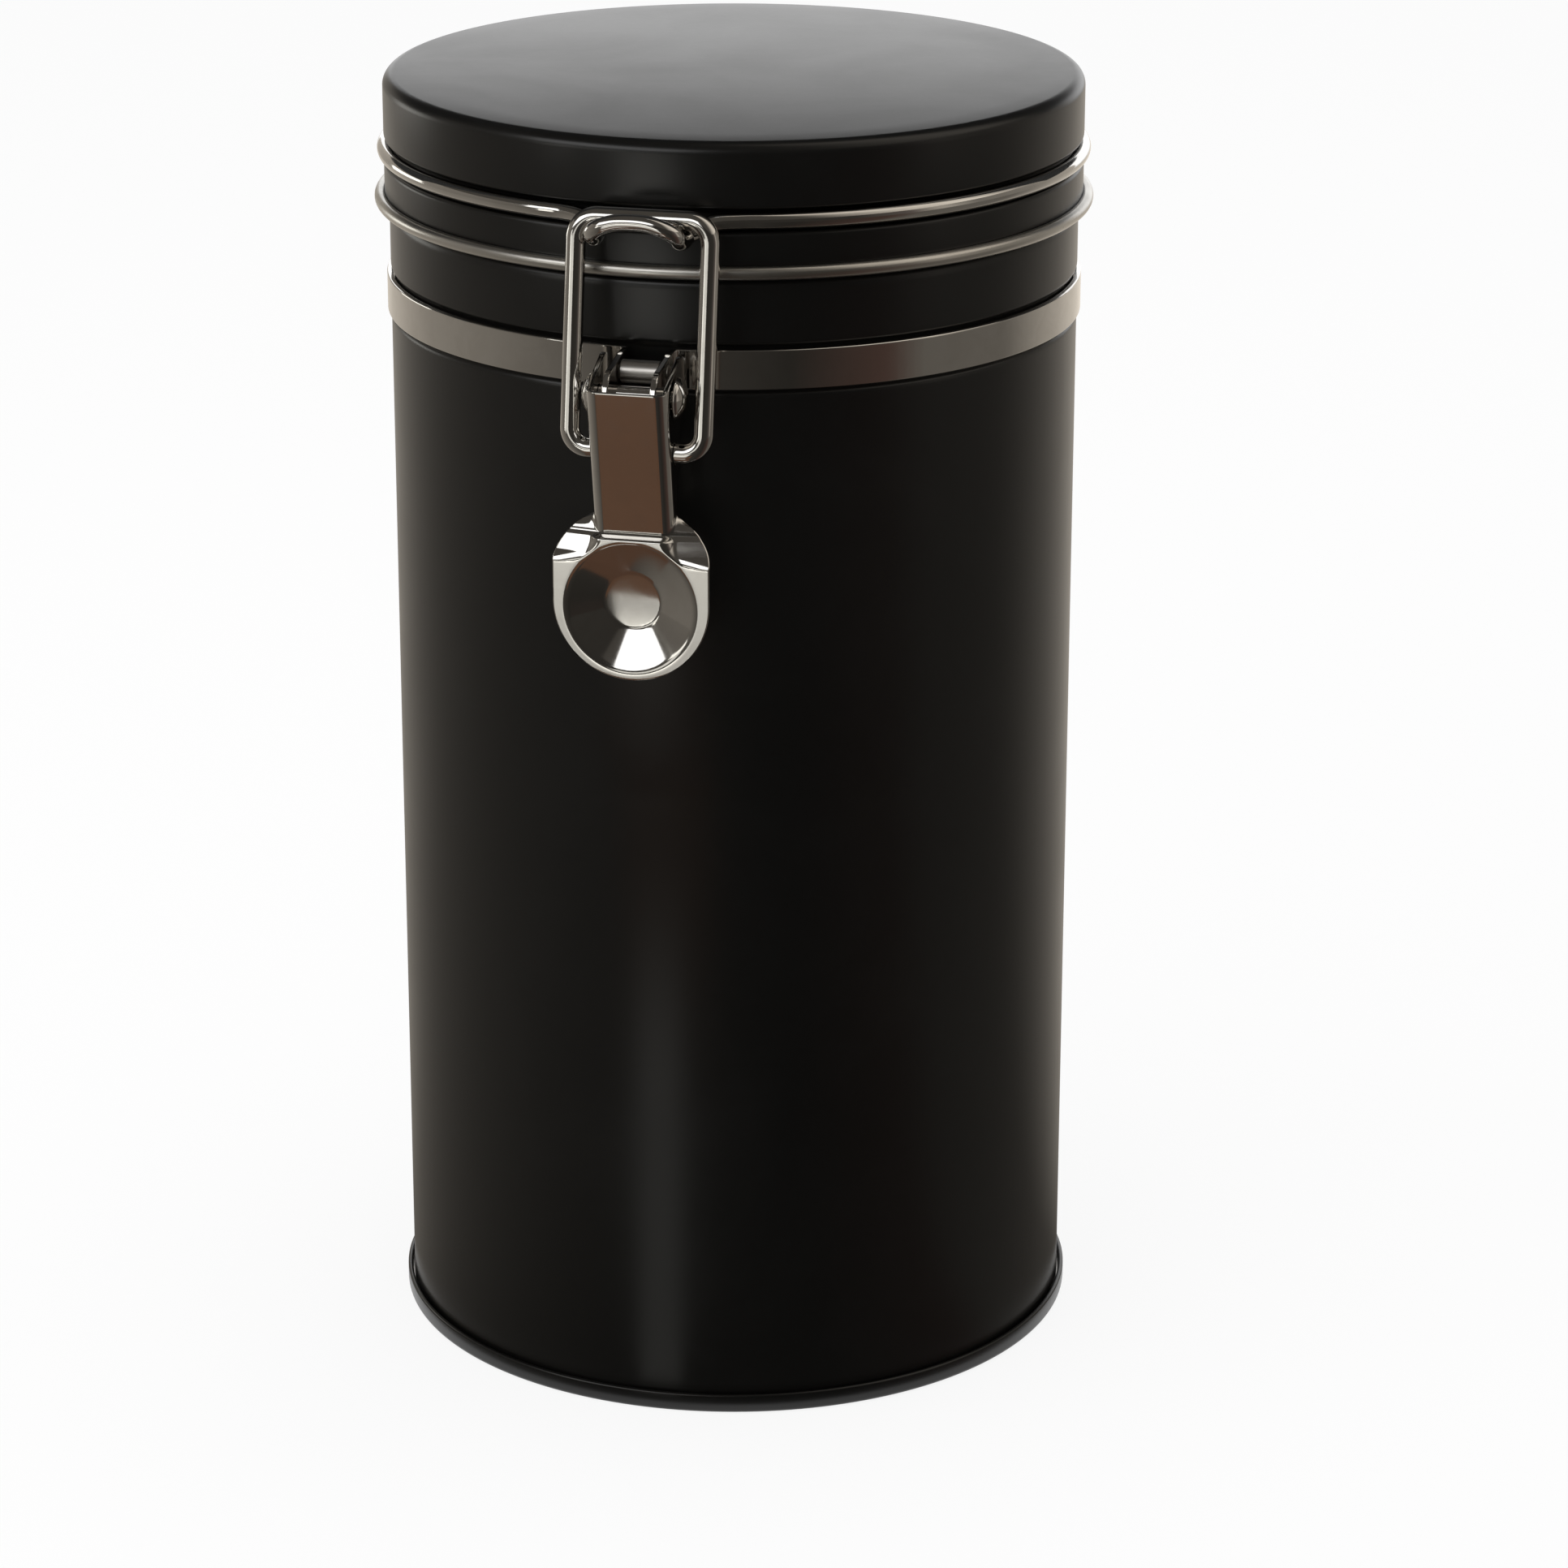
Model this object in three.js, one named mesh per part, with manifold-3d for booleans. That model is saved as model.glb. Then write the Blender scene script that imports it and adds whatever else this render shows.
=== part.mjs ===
// Coffee canister: a sheet-metal can whose hinged lid is held shut by a wire bail and a lever.
// Millimetres, +Z up. The latch faces -Y and the hinge +Y. The can stands on z = 0.
import * as THREE from 'three';
import { mergeVertices } from 'three/addons/utils/BufferGeometryUtils.js';
import Module from 'manifold-3d';

const wasm = await Module();
wasm.setup();

// Facets
const canFacets = 52;
const wireFacets = 8;
const holeFacets = 20;
const dishFacets = 32;

// Clearances
const seatGap = 0.3;
const holeGap = 0.3;
const swingGap = 0.5;

// Body: the wall up to the shoulder, then the neck and the rolled rim
const bodyRadius = 54.3;
const bodyHeight = 184.2;
const bodySheet = 0.6;
const shoulderRise = 1.6;
const neckInset = 1.3;
const rimRise = 3.7;
const rimRadius = 0.95;
const rimInset = 0.35;

// Base
const seamHeight = 3.2;
const seamStandout = 1.1;
const seamSheet = 0.7;
const seamFloor = 1.0;
const panelHeight = 3.6;
const panelSheet = 0.6;

// Lid: its wall stands outside the body's, above the shoulder
const lidFit = 0.7;
const lidHeight = 20.85;
const lidSheet = 0.6;
const lidEdgeRadius = 1.9;
const skirtGap = 1.35;
const curlRadius = 1.05;
const curlStandout = 1.6;

// Gasket
const gasketWidth = 2.15;
const gasketThickness = 1.1;

// Ring wire, which stands out of the lid's bead
const ringWireRadius = 1.25;
const ringStandout = 1.05;
const beadFillet = 0.8;

// Strap: its lower edge below the shoulder
const strapDrop = 15.6;
const strapWidth = 6.1;
const strapSheet = 0.9;
const strapGroove = 0.6;
const grooveSlope = 0.6;
const earFold = 0.6;
const earNoseRadius = 4.2;
const earGap = 1.3;

// Pins of the latch: reach outside the body's wall, rise above the strap's lower edge
const pivotReach = 9.1;
const pivotRise = 1.0;
const pivotRadius = 1.5;
const pivotHeadRadius = 3.3;
const pivotHeadRise = 1.6;
const tiePinReach = 5.2;
const tiePinRise = 3.7;
const tiePinRadius = 1.25;

// Lever: its face leans in from the top edge, which stands in front of the pivot
const leverWidth = 12.4;
const leverSheet = 0.8;
const leverBend = 1.4;
const leverLead = 6.4;
const leverRise = 1.9;
const leverDrop = 20.0;
const leverLean = 3.7;
const wallRear = 3.2;
const wallRise = 6.7;
const wallCorner = 2.0;
const wallFoot = 2.4;

// Thumb tab: a round dished plate in front of the lever's foot
const tabStep = 0.9;
const tabNeckDrop = 2.7;
const tabShoulderDrop = 4.7;
const tabCentreDrop = 6.1;
const tabRadius = 12.2;
const tabRim = 2.2;
const tabLap = 0.5;
const dishDepth = 3.1;
const dishFloorShare = 0.42;
const dishFloorRise = 0.25;

// Wings: the sheet above the tab's shoulders, bent back along a curve from the shoulder to the lever's walls
const wingTop = 10.1;
const wingHeight = 5.9;
const wingWidth = 6.8;
const wingTurn = 35;
const wingBend = 1.6;

// Bail: hinged below the pivot, its bar in front of the lid's wall
const bailHoleLead = 0.6;
const bailHoleDrop = 8.2;
const bailRadius = 1.5;
const bailSpread = 4.0;
const bailEndInset = 2.0;
const bailLowBend = 3.0;
const bailTopBend = 3.3;
const barStandoff = 3.4;
const barRise = 0.9;

// Hook at the front of the ring wire, round the bail's bar
const hookShift = -0.4;
const hookInset = 3.7;
const hookReach = 4.6;
const hookRise = 0.4;
const hookFootGap = 0.75;

// Hinge at the back
const hingeRise = 9.8;
const leafSheet = 0.8;
const leafWidth = 14.4;
const leafMargin = 0.7;
const leafCorner = 2.0;
const knuckleWidth = 8.6;
const legSide = 2.0;
const legStep = 1.15;
const pinGap = 1.8;
const leafRivetSpread = 5.2;
const leafRivetRadius = 1.1;
const leafRivetHead = 2.1;
const leafRivetRise = 1.0;

// Body and lid, from the sizes above
const bodyFoot = seamFloor + seatGap;
const neckHeight = bodyHeight + shoulderRise;
const neckRadius = bodyRadius - neckInset;
const rimHeight = neckHeight + rimRise;
const rimCentre = neckRadius - rimInset;
const lidRadius = bodyRadius + lidFit;
const lidInner = lidRadius - lidSheet;
const curlHeight = bodyHeight + skirtGap + curlRadius;
const lidTop = curlHeight - curlRadius + lidHeight;
const ringRadius = lidRadius + ringStandout - ringWireRadius;
const beadArc = lidRadius - ringRadius + ringWireRadius + seatGap;
const beadReach = Math.sqrt(beadArc * beadArc + 2 * beadArc * beadFillet);
const gasketOuter = lidInner - seatGap;
const gasketLow = rimHeight + rimRadius + seatGap;
const gasketHigh = gasketLow + gasketThickness;
const beadDrop = Math.sqrt((beadArc + lidSheet) ** 2 - (lidRadius - gasketOuter) ** 2);
const ringHeight = gasketHigh + seatGap + beadDrop;

// Strap and latch
const strapLow = bodyHeight - strapDrop;
const strapHigh = strapLow + strapWidth;
const strapInner = bodyRadius - strapGroove + seatGap;
const strapOuter = strapInner + strapSheet;
const pivot = { out: bodyRadius + pivotReach, up: strapLow + pivotRise };
const tiePin = { out: bodyRadius + tiePinReach, up: strapLow + tiePinRise };
const leverHalf = leverWidth / 2;
const leverTop = { out: pivot.out + leverLead, up: pivot.up + leverRise };
const leverFoot = { out: leverTop.out - leverLean, up: leverTop.up - leverDrop };
const wallTop = { out: pivot.out - wallRear, up: pivot.up + wallRise };
const earOuter = leverHalf - leverSheet - earGap;
const earInner = earOuter - strapSheet;
const tabOut = leverFoot.out + tabStep;
const tabNeck = leverFoot.up - tabNeckDrop;
const tabShoulder = tabNeck - tabShoulderDrop;
const tabCentre = tabShoulder - tabCentreDrop;
const dishRadius = tabRadius - tabRim;
const dishFloorRadius = dishRadius * dishFloorShare;
const bailHole = { out: pivot.out + bailHoleLead, up: pivot.up - bailHoleDrop };
const bailBar = { out: lidRadius + barStandoff, up: ringHeight + barRise };
const bailHalf = leverHalf + bailSpread;
const bailEnd = leverHalf - bailEndInset;
const hookHalf = bailHalf - hookInset;
const hookOut = bailBar.out + hookReach;
const hookUp = bailBar.up + hookRise;
const hookFoot = bailBar.up - bailRadius - ringWireRadius - hookFootGap;

// Hinge
const leafInner = strapOuter + seatGap;
const leafOuter = leafInner + leafSheet;
const leafLow = strapLow - leafMargin;
const leafHigh = strapHigh + leafMargin;
const knuckleInner = ringWireRadius + holeGap;
const knuckleOuter = knuckleInner + leafSheet;
const hingeOut = leafInner + knuckleOuter;
const hingeUp = strapLow + hingeRise;
const legHalf = knuckleWidth / 2 + legSide;
const legOut = hingeOut + legStep;
const leafRivetUp = (strapLow + strapHigh) / 2;
const leafRivetTurn = leafRivetSpread / leafOuter;
const axisY = (leverTop.out - legOut - ringWireRadius) / 2;

// Points along an arc, both ends included
function arc(x, y, radius, from, to, steps) {
  const points = [];
  for (let i = 0; i <= steps; i += 1) {
    const angle = THREE.MathUtils.degToRad(from + ((to - from) * i) / steps);
    points.push(new THREE.Vector2(x + radius * Math.cos(angle), y + radius * Math.sin(angle)));
  }
  return points;
}

function v2(x, y) {
  return new THREE.Vector2(x, y);
}

// Solid of revolution about +Z from a profile of radius and height
function turned(profile, facets = canFacets) {
  return new THREE.LatheGeometry(profile, facets).rotateX(Math.PI / 2);
}

// Outline drawn in (out from the axis towards the latch, up), extruded between two x values
function sideways(shape, fromX, toX) {
  const geometry = new THREE.ExtrudeGeometry(shape, { depth: toX - fromX, bevelEnabled: false });
  return geometry.applyMatrix4(new THREE.Matrix4().set(0, 0, -1, toX, -1, 0, 0, 0, 0, 1, 0, 0, 0, 0, 0, 1));
}

// Outline drawn in (x, up), extruded between two y values
function facing(shape, fromY, toY) {
  const geometry = new THREE.ExtrudeGeometry(shape, { depth: toY - fromY, bevelEnabled: false });
  return geometry.applyMatrix4(new THREE.Matrix4().set(1, 0, 0, 0, 0, 0, -1, toY, 0, 1, 0, 0, 0, 0, 0, 1));
}

function disc(at, radius) {
  return new THREE.Shape(arc(at.out, at.up, radius, 0, 360, holeFacets).slice(1));
}

// Path through given stations, which stand closer in bends than on straight runs
class StationPath extends THREE.Curve {
  constructor(stations) {
    super();
    this.stations = stations;
  }

  getPoint(t, target = new THREE.Vector3()) {
    const last = this.stations.length - 1;
    const at = Math.min(last, Math.max(0, t * last));
    const i = Math.min(last - 1, Math.floor(at + 1e-6));
    return target.lerpVectors(this.stations[i], this.stations[i + 1], at - i);
  }

  getPointAt(u, target) {
    return this.getPoint(u, target);
  }

  getTangentAt(u, target = new THREE.Vector3()) {
    const last = this.stations.length - 1;
    const i = Math.round(u * last);
    const before = this.stations[Math.max(0, i - 1)];
    const after = this.stations[Math.min(last, i + 1)];
    return target.copy(after).sub(before).normalize();
  }
}

// Round wire along stations
function wire(stations, radius) {
  const section = new THREE.Shape(arc(0, 0, radius, 0, 360, wireFacets).slice(1));
  const extrudePath = new StationPath(stations);
  const steps = stations.length - 1;
  return new THREE.ExtrudeGeometry(section, { steps, extrudePath, bevelEnabled: false });
}

// Closed geometry as a solid that can be cut and joined
function solid(geometry) {
  const bare = geometry.clone();
  bare.deleteAttribute('normal');
  bare.deleteAttribute('uv');
  const merged = mergeVertices(bare, 1e-4);
  const corners = merged.index.array;
  const kept = [];
  for (let i = 0; i < corners.length; i += 3) {
    const [a, b, c] = corners.slice(i, i + 3);
    if (a !== b && b !== c && c !== a) {
      kept.push(a, b, c);
    }
  }
  const vertProperties = new Float32Array(merged.attributes.position.array);
  const triVerts = new Uint32Array(kept);
  return new wasm.Manifold(new wasm.Mesh({ numProp: 3, vertProperties, triVerts }));
}

function geometryOf(body) {
  const mesh = body.getMesh();
  const geometry = new THREE.BufferGeometry();
  geometry.setAttribute('position', new THREE.BufferAttribute(new Float32Array(mesh.vertProperties), 3));
  geometry.setIndex(new THREE.BufferAttribute(new Uint32Array(mesh.triVerts), 1));
  geometry.computeVertexNormals();
  return geometry;
}

// Lid: one sheet from the middle of the top to the curl at the skirt, outside and inside
function beadProfile(sheet) {
  const groove = beadArc + sheet;
  const fillet = beadFillet - sheet;
  const tilt = THREE.MathUtils.radToDeg(Math.atan2(beadReach, beadFillet));
  const centre = lidRadius - beadFillet;
  return [
    ...arc(centre, ringHeight - beadReach, fillet, 0, tilt, sheet > 0 ? 1 : 2),
    ...arc(lidRadius, ringHeight, groove, 180 + tilt, 180 - tilt, sheet > 0 ? 4 : 5),
    ...arc(centre, ringHeight + beadReach, fillet, -tilt, 0, sheet > 0 ? 1 : 2),
  ];
}

function makeLid() {
  const curlCentre = lidRadius + curlStandout - curlRadius;
  const curlMeet = THREE.MathUtils.radToDeg(Math.acos((lidRadius - curlCentre) / curlRadius));
  const edge = lidRadius - lidEdgeRadius;
  const edgeUp = lidTop - lidEdgeRadius;
  return turned([
    v2(0, lidTop - lidSheet),
    ...arc(edge, edgeUp, lidEdgeRadius - lidSheet, 90, 0, 2),
    ...beadProfile(lidSheet).reverse(),
    v2(lidInner, curlHeight + curlRadius),
    ...arc(curlCentre, curlHeight, curlRadius, 180, 360 + curlMeet, 7),
    ...beadProfile(0),
    ...arc(edge, edgeUp, lidEdgeRadius, 0, 90, 4),
    v2(0, lidTop),
  ]);
}

// Gasket: flat ring under the bead, above the body's rim
function makeGasket() {
  const inner = gasketOuter - gasketWidth;
  return turned([
    v2(inner, gasketLow),
    v2(gasketOuter, gasketLow),
    v2(gasketOuter, gasketHigh),
    v2(inner, gasketHigh),
    v2(inner, gasketLow),
  ]);
}

// Body: straight wall with the strap's groove, a shoulder, a neck and a rolled rim
function makeBody() {
  const groove = bodyRadius - strapGroove;
  const low = strapLow - seatGap;
  const high = strapHigh + seatGap;
  const wall = [
    v2(bodyRadius, bodyFoot),
    v2(bodyRadius, low - grooveSlope),
    v2(groove, low),
    v2(groove, high),
    v2(bodyRadius, high + grooveSlope),
    v2(bodyRadius, bodyHeight),
    v2(bodyRadius - neckInset * 0.3, (bodyHeight + neckHeight) / 2),
    v2(neckRadius, neckHeight),
  ];
  const lining = wall.map((p) => v2(p.x - bodySheet, p.y)).reverse();
  return turned([
    ...wall,
    ...arc(rimCentre, rimHeight, rimRadius, -50, 230, 6),
    ...lining,
    wall[0].clone(),
  ]);
}

// Base: recessed panel whose edge is folded round the foot of the body's wall
function makeBase() {
  const outer = bodyRadius + seamStandout;
  const wellOuter = bodyRadius + seatGap;
  const wellInner = bodyRadius - bodySheet - seatGap;
  const inner = wellInner - seamSheet;
  const turn = 0.8;
  const lip = (outer - wellOuter) / 2;
  return turned([
    v2(0, panelHeight),
    ...arc(inner - turn, panelHeight - turn, turn, 90, 0, 2),
    ...arc(inner + turn, turn, turn, 180, 270, 2),
    ...arc(outer - turn, turn, turn, 270, 360, 2),
    ...arc(outer - lip, seamHeight - lip, lip, 0, 180, 3),
    v2(wellOuter, seamFloor),
    v2(wellInner, seamFloor),
    ...arc(wellInner - turn, panelHeight + panelSheet - turn, turn, 0, 90, 2),
    v2(0, panelHeight + panelSheet),
  ]);
}

// Hole along x through what stands at a given place
function boreX(at, radius) {
  return solid(sideways(disc(at, radius), -lidRadius, lidRadius));
}

// Radial hole at the back of the can
function boreRear(turn, up, radius) {
  const bore = new THREE.CylinderGeometry(radius, radius, 8, holeFacets);
  return solid(bore.translate(0, strapOuter, 0).rotateZ(turn).translate(0, 0, up));
}

// Strap: a band whose two ends are folded outward as ears for the latch
function makeStrap() {
  const foldX = earOuter + earFold;
  const foldY = -Math.sqrt((strapOuter + earFold) ** 2 - foldX ** 2);
  const foldTurn = THREE.MathUtils.radToDeg(Math.atan2(-foldY, -foldX));
  const start = foldTurn - 180;
  const half = [
    v2(earInner, -tiePin.out),
    v2(earOuter, -tiePin.out),
    ...arc(foldX, foldY, earFold, 180, foldTurn, 3),
    ...arc(0, 0, strapOuter, start + 1, 90, 28),
  ];
  const back = [
    ...arc(0, 0, strapInner, 90, start + 1, 28),
    ...arc(foldX, foldY, earFold + strapSheet, foldTurn, 180, 3),
  ];
  const mirrored = (points) => points.map((p) => v2(-p.x, p.y)).reverse();
  const outline = [...half, ...mirrored(half).slice(1), ...mirrored(back), ...back.slice(1)];
  const shape = new THREE.Shape(outline);
  const band = new THREE.ExtrudeGeometry(shape, { depth: strapWidth, bevelEnabled: false });
  let strap = solid(band.translate(0, 0, strapLow));
  const inset = 0.05;
  const ear = new THREE.Shape([
    v2(strapOuter + 2, strapLow + inset),
    ...arc(pivot.out, pivot.up, earNoseRadius, -105, 85, 12),
    v2(strapOuter + 2, strapHigh - inset),
  ]);
  strap = strap.add(solid(sideways(ear, earInner, earOuter)));
  strap = strap.add(solid(sideways(ear, -earOuter, -earInner)));
  strap = strap.subtract(boreX(pivot, pivotRadius + holeGap));
  strap = strap.subtract(boreX(tiePin, tiePinRadius + holeGap));
  for (const turn of [leafRivetTurn, -leafRivetTurn]) {
    strap = strap.subtract(boreRear(turn, leafRivetUp, leafRivetRadius + holeGap));
  }
  return geometryOf(strap);
}

// Pin along x with flat ends
function makeTiePin() {
  const half = earOuter + swingGap / 2;
  return sideways(disc(tiePin, tiePinRadius), -half, half);
}

// Rivet along x with a dome at each end, outside the lever's walls
function makePivotRivet() {
  const half = leverHalf + seatGap;
  const dome = (pivotHeadRadius ** 2 + pivotHeadRise ** 2) / (2 * pivotHeadRise);
  const reach = THREE.MathUtils.radToDeg(Math.asin(pivotHeadRadius / dome));
  const crown = arc(0, half + pivotHeadRise - dome, dome, 90 - reach, 90, 4);
  const profile = [
    ...crown.map((p) => v2(p.x, -p.y)).reverse(),
    v2(pivotRadius, -half),
    v2(pivotRadius, half),
    ...crown,
  ];
  profile[0].x = 0;
  profile[profile.length - 1].x = 0;
  const rivet = new THREE.LatheGeometry(profile, holeFacets);
  return rivet.rotateZ(-Math.PI / 2).translate(0, -pivot.out, pivot.up);
}

// Sheet between matching outer and inner lines, one pair of lines for each station from the top down
function sheetLoft(outer, inner) {
  const rows = outer.length;
  const columns = outer[0].length;
  const points = [...outer.flat(), ...inner.flat()];
  const front = (i, j) => i * columns + j;
  const back = (i, j) => rows * columns + front(i, j);
  const index = [];
  const quad = (a, b, c, d) => index.push(a, b, c, a, c, d);
  for (let i = 0; i < rows - 1; i += 1) {
    for (let j = 0; j < columns - 1; j += 1) {
      quad(front(i, j), front(i + 1, j), front(i + 1, j + 1), front(i, j + 1));
      quad(back(i, j), back(i, j + 1), back(i + 1, j + 1), back(i + 1, j));
    }
    const last = columns - 1;
    quad(front(i + 1, 0), front(i, 0), back(i, 0), back(i + 1, 0));
    quad(front(i, last), front(i + 1, last), back(i + 1, last), back(i, last));
  }
  for (let j = 0; j < columns - 1; j += 1) {
    const foot = rows - 1;
    quad(front(0, j), front(0, j + 1), back(0, j + 1), back(0, j));
    quad(front(foot, j), back(foot, j), back(foot, j + 1), front(foot, j + 1));
  }
  return new THREE.BufferGeometry().setFromPoints(points).setIndex(index);
}

// How far out the lever's front face stands at a height: leaning, then stepped out to the tab
function leverFront(up) {
  const step = THREE.MathUtils.smoothstep(-up, -leverFoot.up, -tabNeck);
  const lean = Math.max(0, up - leverFoot.up) * (leverLean / leverDrop);
  return leverFoot.out + lean + tabStep * step;
}

// One line across the lever's sheet, from the left wall's edge to the right one's
function leverLine(station, inset) {
  const half = [];
  const out = leverFront(station.up) - station.bend;
  const radius = station.bend - inset;
  for (let i = 0; i <= 3; i += 1) {
    const angle = (station.turn * i) / 3;
    half.push(v2(station.fold + radius * Math.sin(angle), out + radius * Math.cos(angle)));
  }
  const end = half[half.length - 1];
  const wall = v2(Math.cos(station.turn), -Math.sin(station.turn)).multiplyScalar(station.wall);
  half.push(end.clone().add(wall));
  const left = half.map((p) => v2(-p.x, p.y)).reverse();
  return [...left, ...half].map((p) => new THREE.Vector3(p.x, -p.y, station.up));
}

// Wings at a height above the tab's shoulders: where the sheet folds, how far it turns and how long it is
function wingStation(rise) {
  const square = Math.max(0, (rise - wingHeight) / (wingTop - wingHeight));
  const along = Math.max(0, 1 - rise / wingHeight);
  const across = Math.sqrt(1 - along * along);
  const slant = ((wingWidth / wingHeight) * along) / across;
  const stretch = Math.hypot(1, slant);
  const crease = tabRadius - wingWidth * across;
  const line = crease + (leverHalf - crease) * square;
  const lean = Math.atan(Math.tan(THREE.MathUtils.degToRad(wingTurn)) / stretch);
  const turn = lean + (Math.PI / 2 - lean) * square ** 2;
  const bend = (wingBend + (leverBend - wingBend) * square) * stretch;
  const fold = line - bend * Math.tan(turn / 2);
  const reach = tabRadius - (tabRadius - leverHalf) * (rise / wingTop) ** 2;
  const wall = (reach - fold - bend * Math.sin(turn)) / Math.cos(turn);
  return { up: tabShoulder + rise, fold, turn, wall, bend };
}

// Lever's sheet above the tab: the walls stand square along the channel, lean out below it as wings and
// run out at the tab's shoulders
function makeChannel() {
  const squareStation = (up, rear) => {
    const wall = leverFront(up) - leverBend - rear;
    return { up, fold: leverHalf - leverBend, turn: Math.PI / 2, wall, bend: leverBend };
  };
  const top = wallTop.up + 2;
  const wingShares = [0.85, 0.74, 0.66, 0.58, 0.5, 0.42, 0.29, 0.15, 0.07, 0.03, 0.01];
  const stations = [
    squareStation(top, wallTop.out - 1),
    squareStation(bailHole.up, bailHole.out - wallRear - 0.5),
    squareStation(tabShoulder + wingTop, bailHole.out - wallFoot),
    ...wingShares.map((share) => wingStation(share * wingTop)),
    { up: tabShoulder - tabLap, fold: tabRadius - tabLap, turn: 0, wall: tabLap, bend: leverBend },
  ];
  const outer = stations.map((station) => leverLine(station, 0));
  const inner = stations.map((station) => leverLine(station, leverSheet));
  const rear = wallTop.out + wallCorner;
  const outline = new THREE.Shape([
    v2(leverTop.out + 2, leverTop.up),
    v2(leverTop.out - leverSheet, leverTop.up),
    ...arc(rear, wallTop.up - wallCorner, wallCorner, 60, 180, 4),
    v2(bailHole.out - wallRear, bailHole.up),
    v2(bodyRadius, bailHole.up - wallRear),
    v2(bodyRadius, tabShoulder - wallRear),
    v2(leverTop.out + 2, tabShoulder - wallRear),
  ]);
  return solid(sheetLoft(outer, inner)).intersect(solid(sideways(outline, -2 * tabRadius, 2 * tabRadius)));
}

// Dish of the thumb tab: depth behind the tab's front at a distance from its centre
function dishAt(distance) {
  if (distance <= dishFloorRadius) {
    return dishDepth - dishFloorRise * (distance / dishFloorRadius) ** 2;
  }
  const share = (dishRadius - distance) / (dishRadius - dishFloorRadius);
  return (dishDepth - dishFloorRise) * share;
}

function dishSolid(front, back, facets) {
  const lathe = new THREE.LatheGeometry([...front, ...back], facets);
  return solid(lathe.translate(0, -tabOut, 0).translate(0, 0, tabCentre));
}

function makeLever() {
  const flatTop = tabShoulder - tabLap / 2;
  const tab = new THREE.Shape([
    ...arc(0, tabCentre, tabRadius, 180, 360, 24),
    v2(tabRadius, flatTop),
    v2(-tabRadius, flatTop),
  ]);
  const steps = [0, 1 / 3, 2 / 3, 1].map((share) => share * dishFloorRadius);
  steps.push((dishFloorRadius * 2 + dishRadius) / 3, (dishFloorRadius + dishRadius * 2) / 3, dishRadius);
  const back = steps.map((d) => v2(d, dishAt(d) + leverSheet)).reverse();
  const bulge = [v2(0, leverSheet / 2), v2(dishRadius + 0.4, leverSheet / 2)];
  const cavity = [v2(0, -1), v2(dishRadius, -1)];
  const hollow = steps.map((d) => v2(d, dishAt(d))).reverse();
  let lever = makeChannel();
  lever = lever.add(solid(facing(tab, -tabOut, leverSheet - tabOut)));
  lever = lever.add(dishSolid(bulge, back, dishFacets));
  lever = lever.subtract(dishSolid(cavity, hollow, dishFacets));
  lever = lever.subtract(boreX(pivot, pivotRadius + holeGap));
  lever = lever.subtract(boreX(bailHole, bailRadius + holeGap));
  return geometryOf(lever);
}

// Bail: a frame of wire in a plane through the lever's holes, its two ends turned inward
function makeBail() {
  const length = Math.hypot(bailBar.out - bailHole.out, bailBar.up - bailHole.up);
  const side = bailHalf;
  const low = side - bailLowBend;
  const top = side - bailTopBend;
  const right = [
    v2(bailEnd, 0),
    ...arc(low, bailLowBend, bailLowBend, -90, 0, 5),
    ...arc(top, length - bailTopBend, bailTopBend, 0, 90, 5),
  ];
  const left = right.map((p) => v2(-p.x, p.y)).reverse();
  const place = (p) => {
    const share = p.y / length;
    const out = bailHole.out + (bailBar.out - bailHole.out) * share;
    const up = bailHole.up + (bailBar.up - bailHole.up) * share;
    return new THREE.Vector3(p.x, -out, up);
  };
  return wire([...right, ...left].map(place), bailRadius);
}

// Ring wire: round the lid's bead, up into a hook in front of the bail, and down to a hinge pin on each side
function ringStation(degrees) {
  const angle = THREE.MathUtils.degToRad(degrees);
  return new THREE.Vector3(ringRadius * Math.sin(angle), -ringRadius * Math.cos(angle), ringHeight);
}

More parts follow.
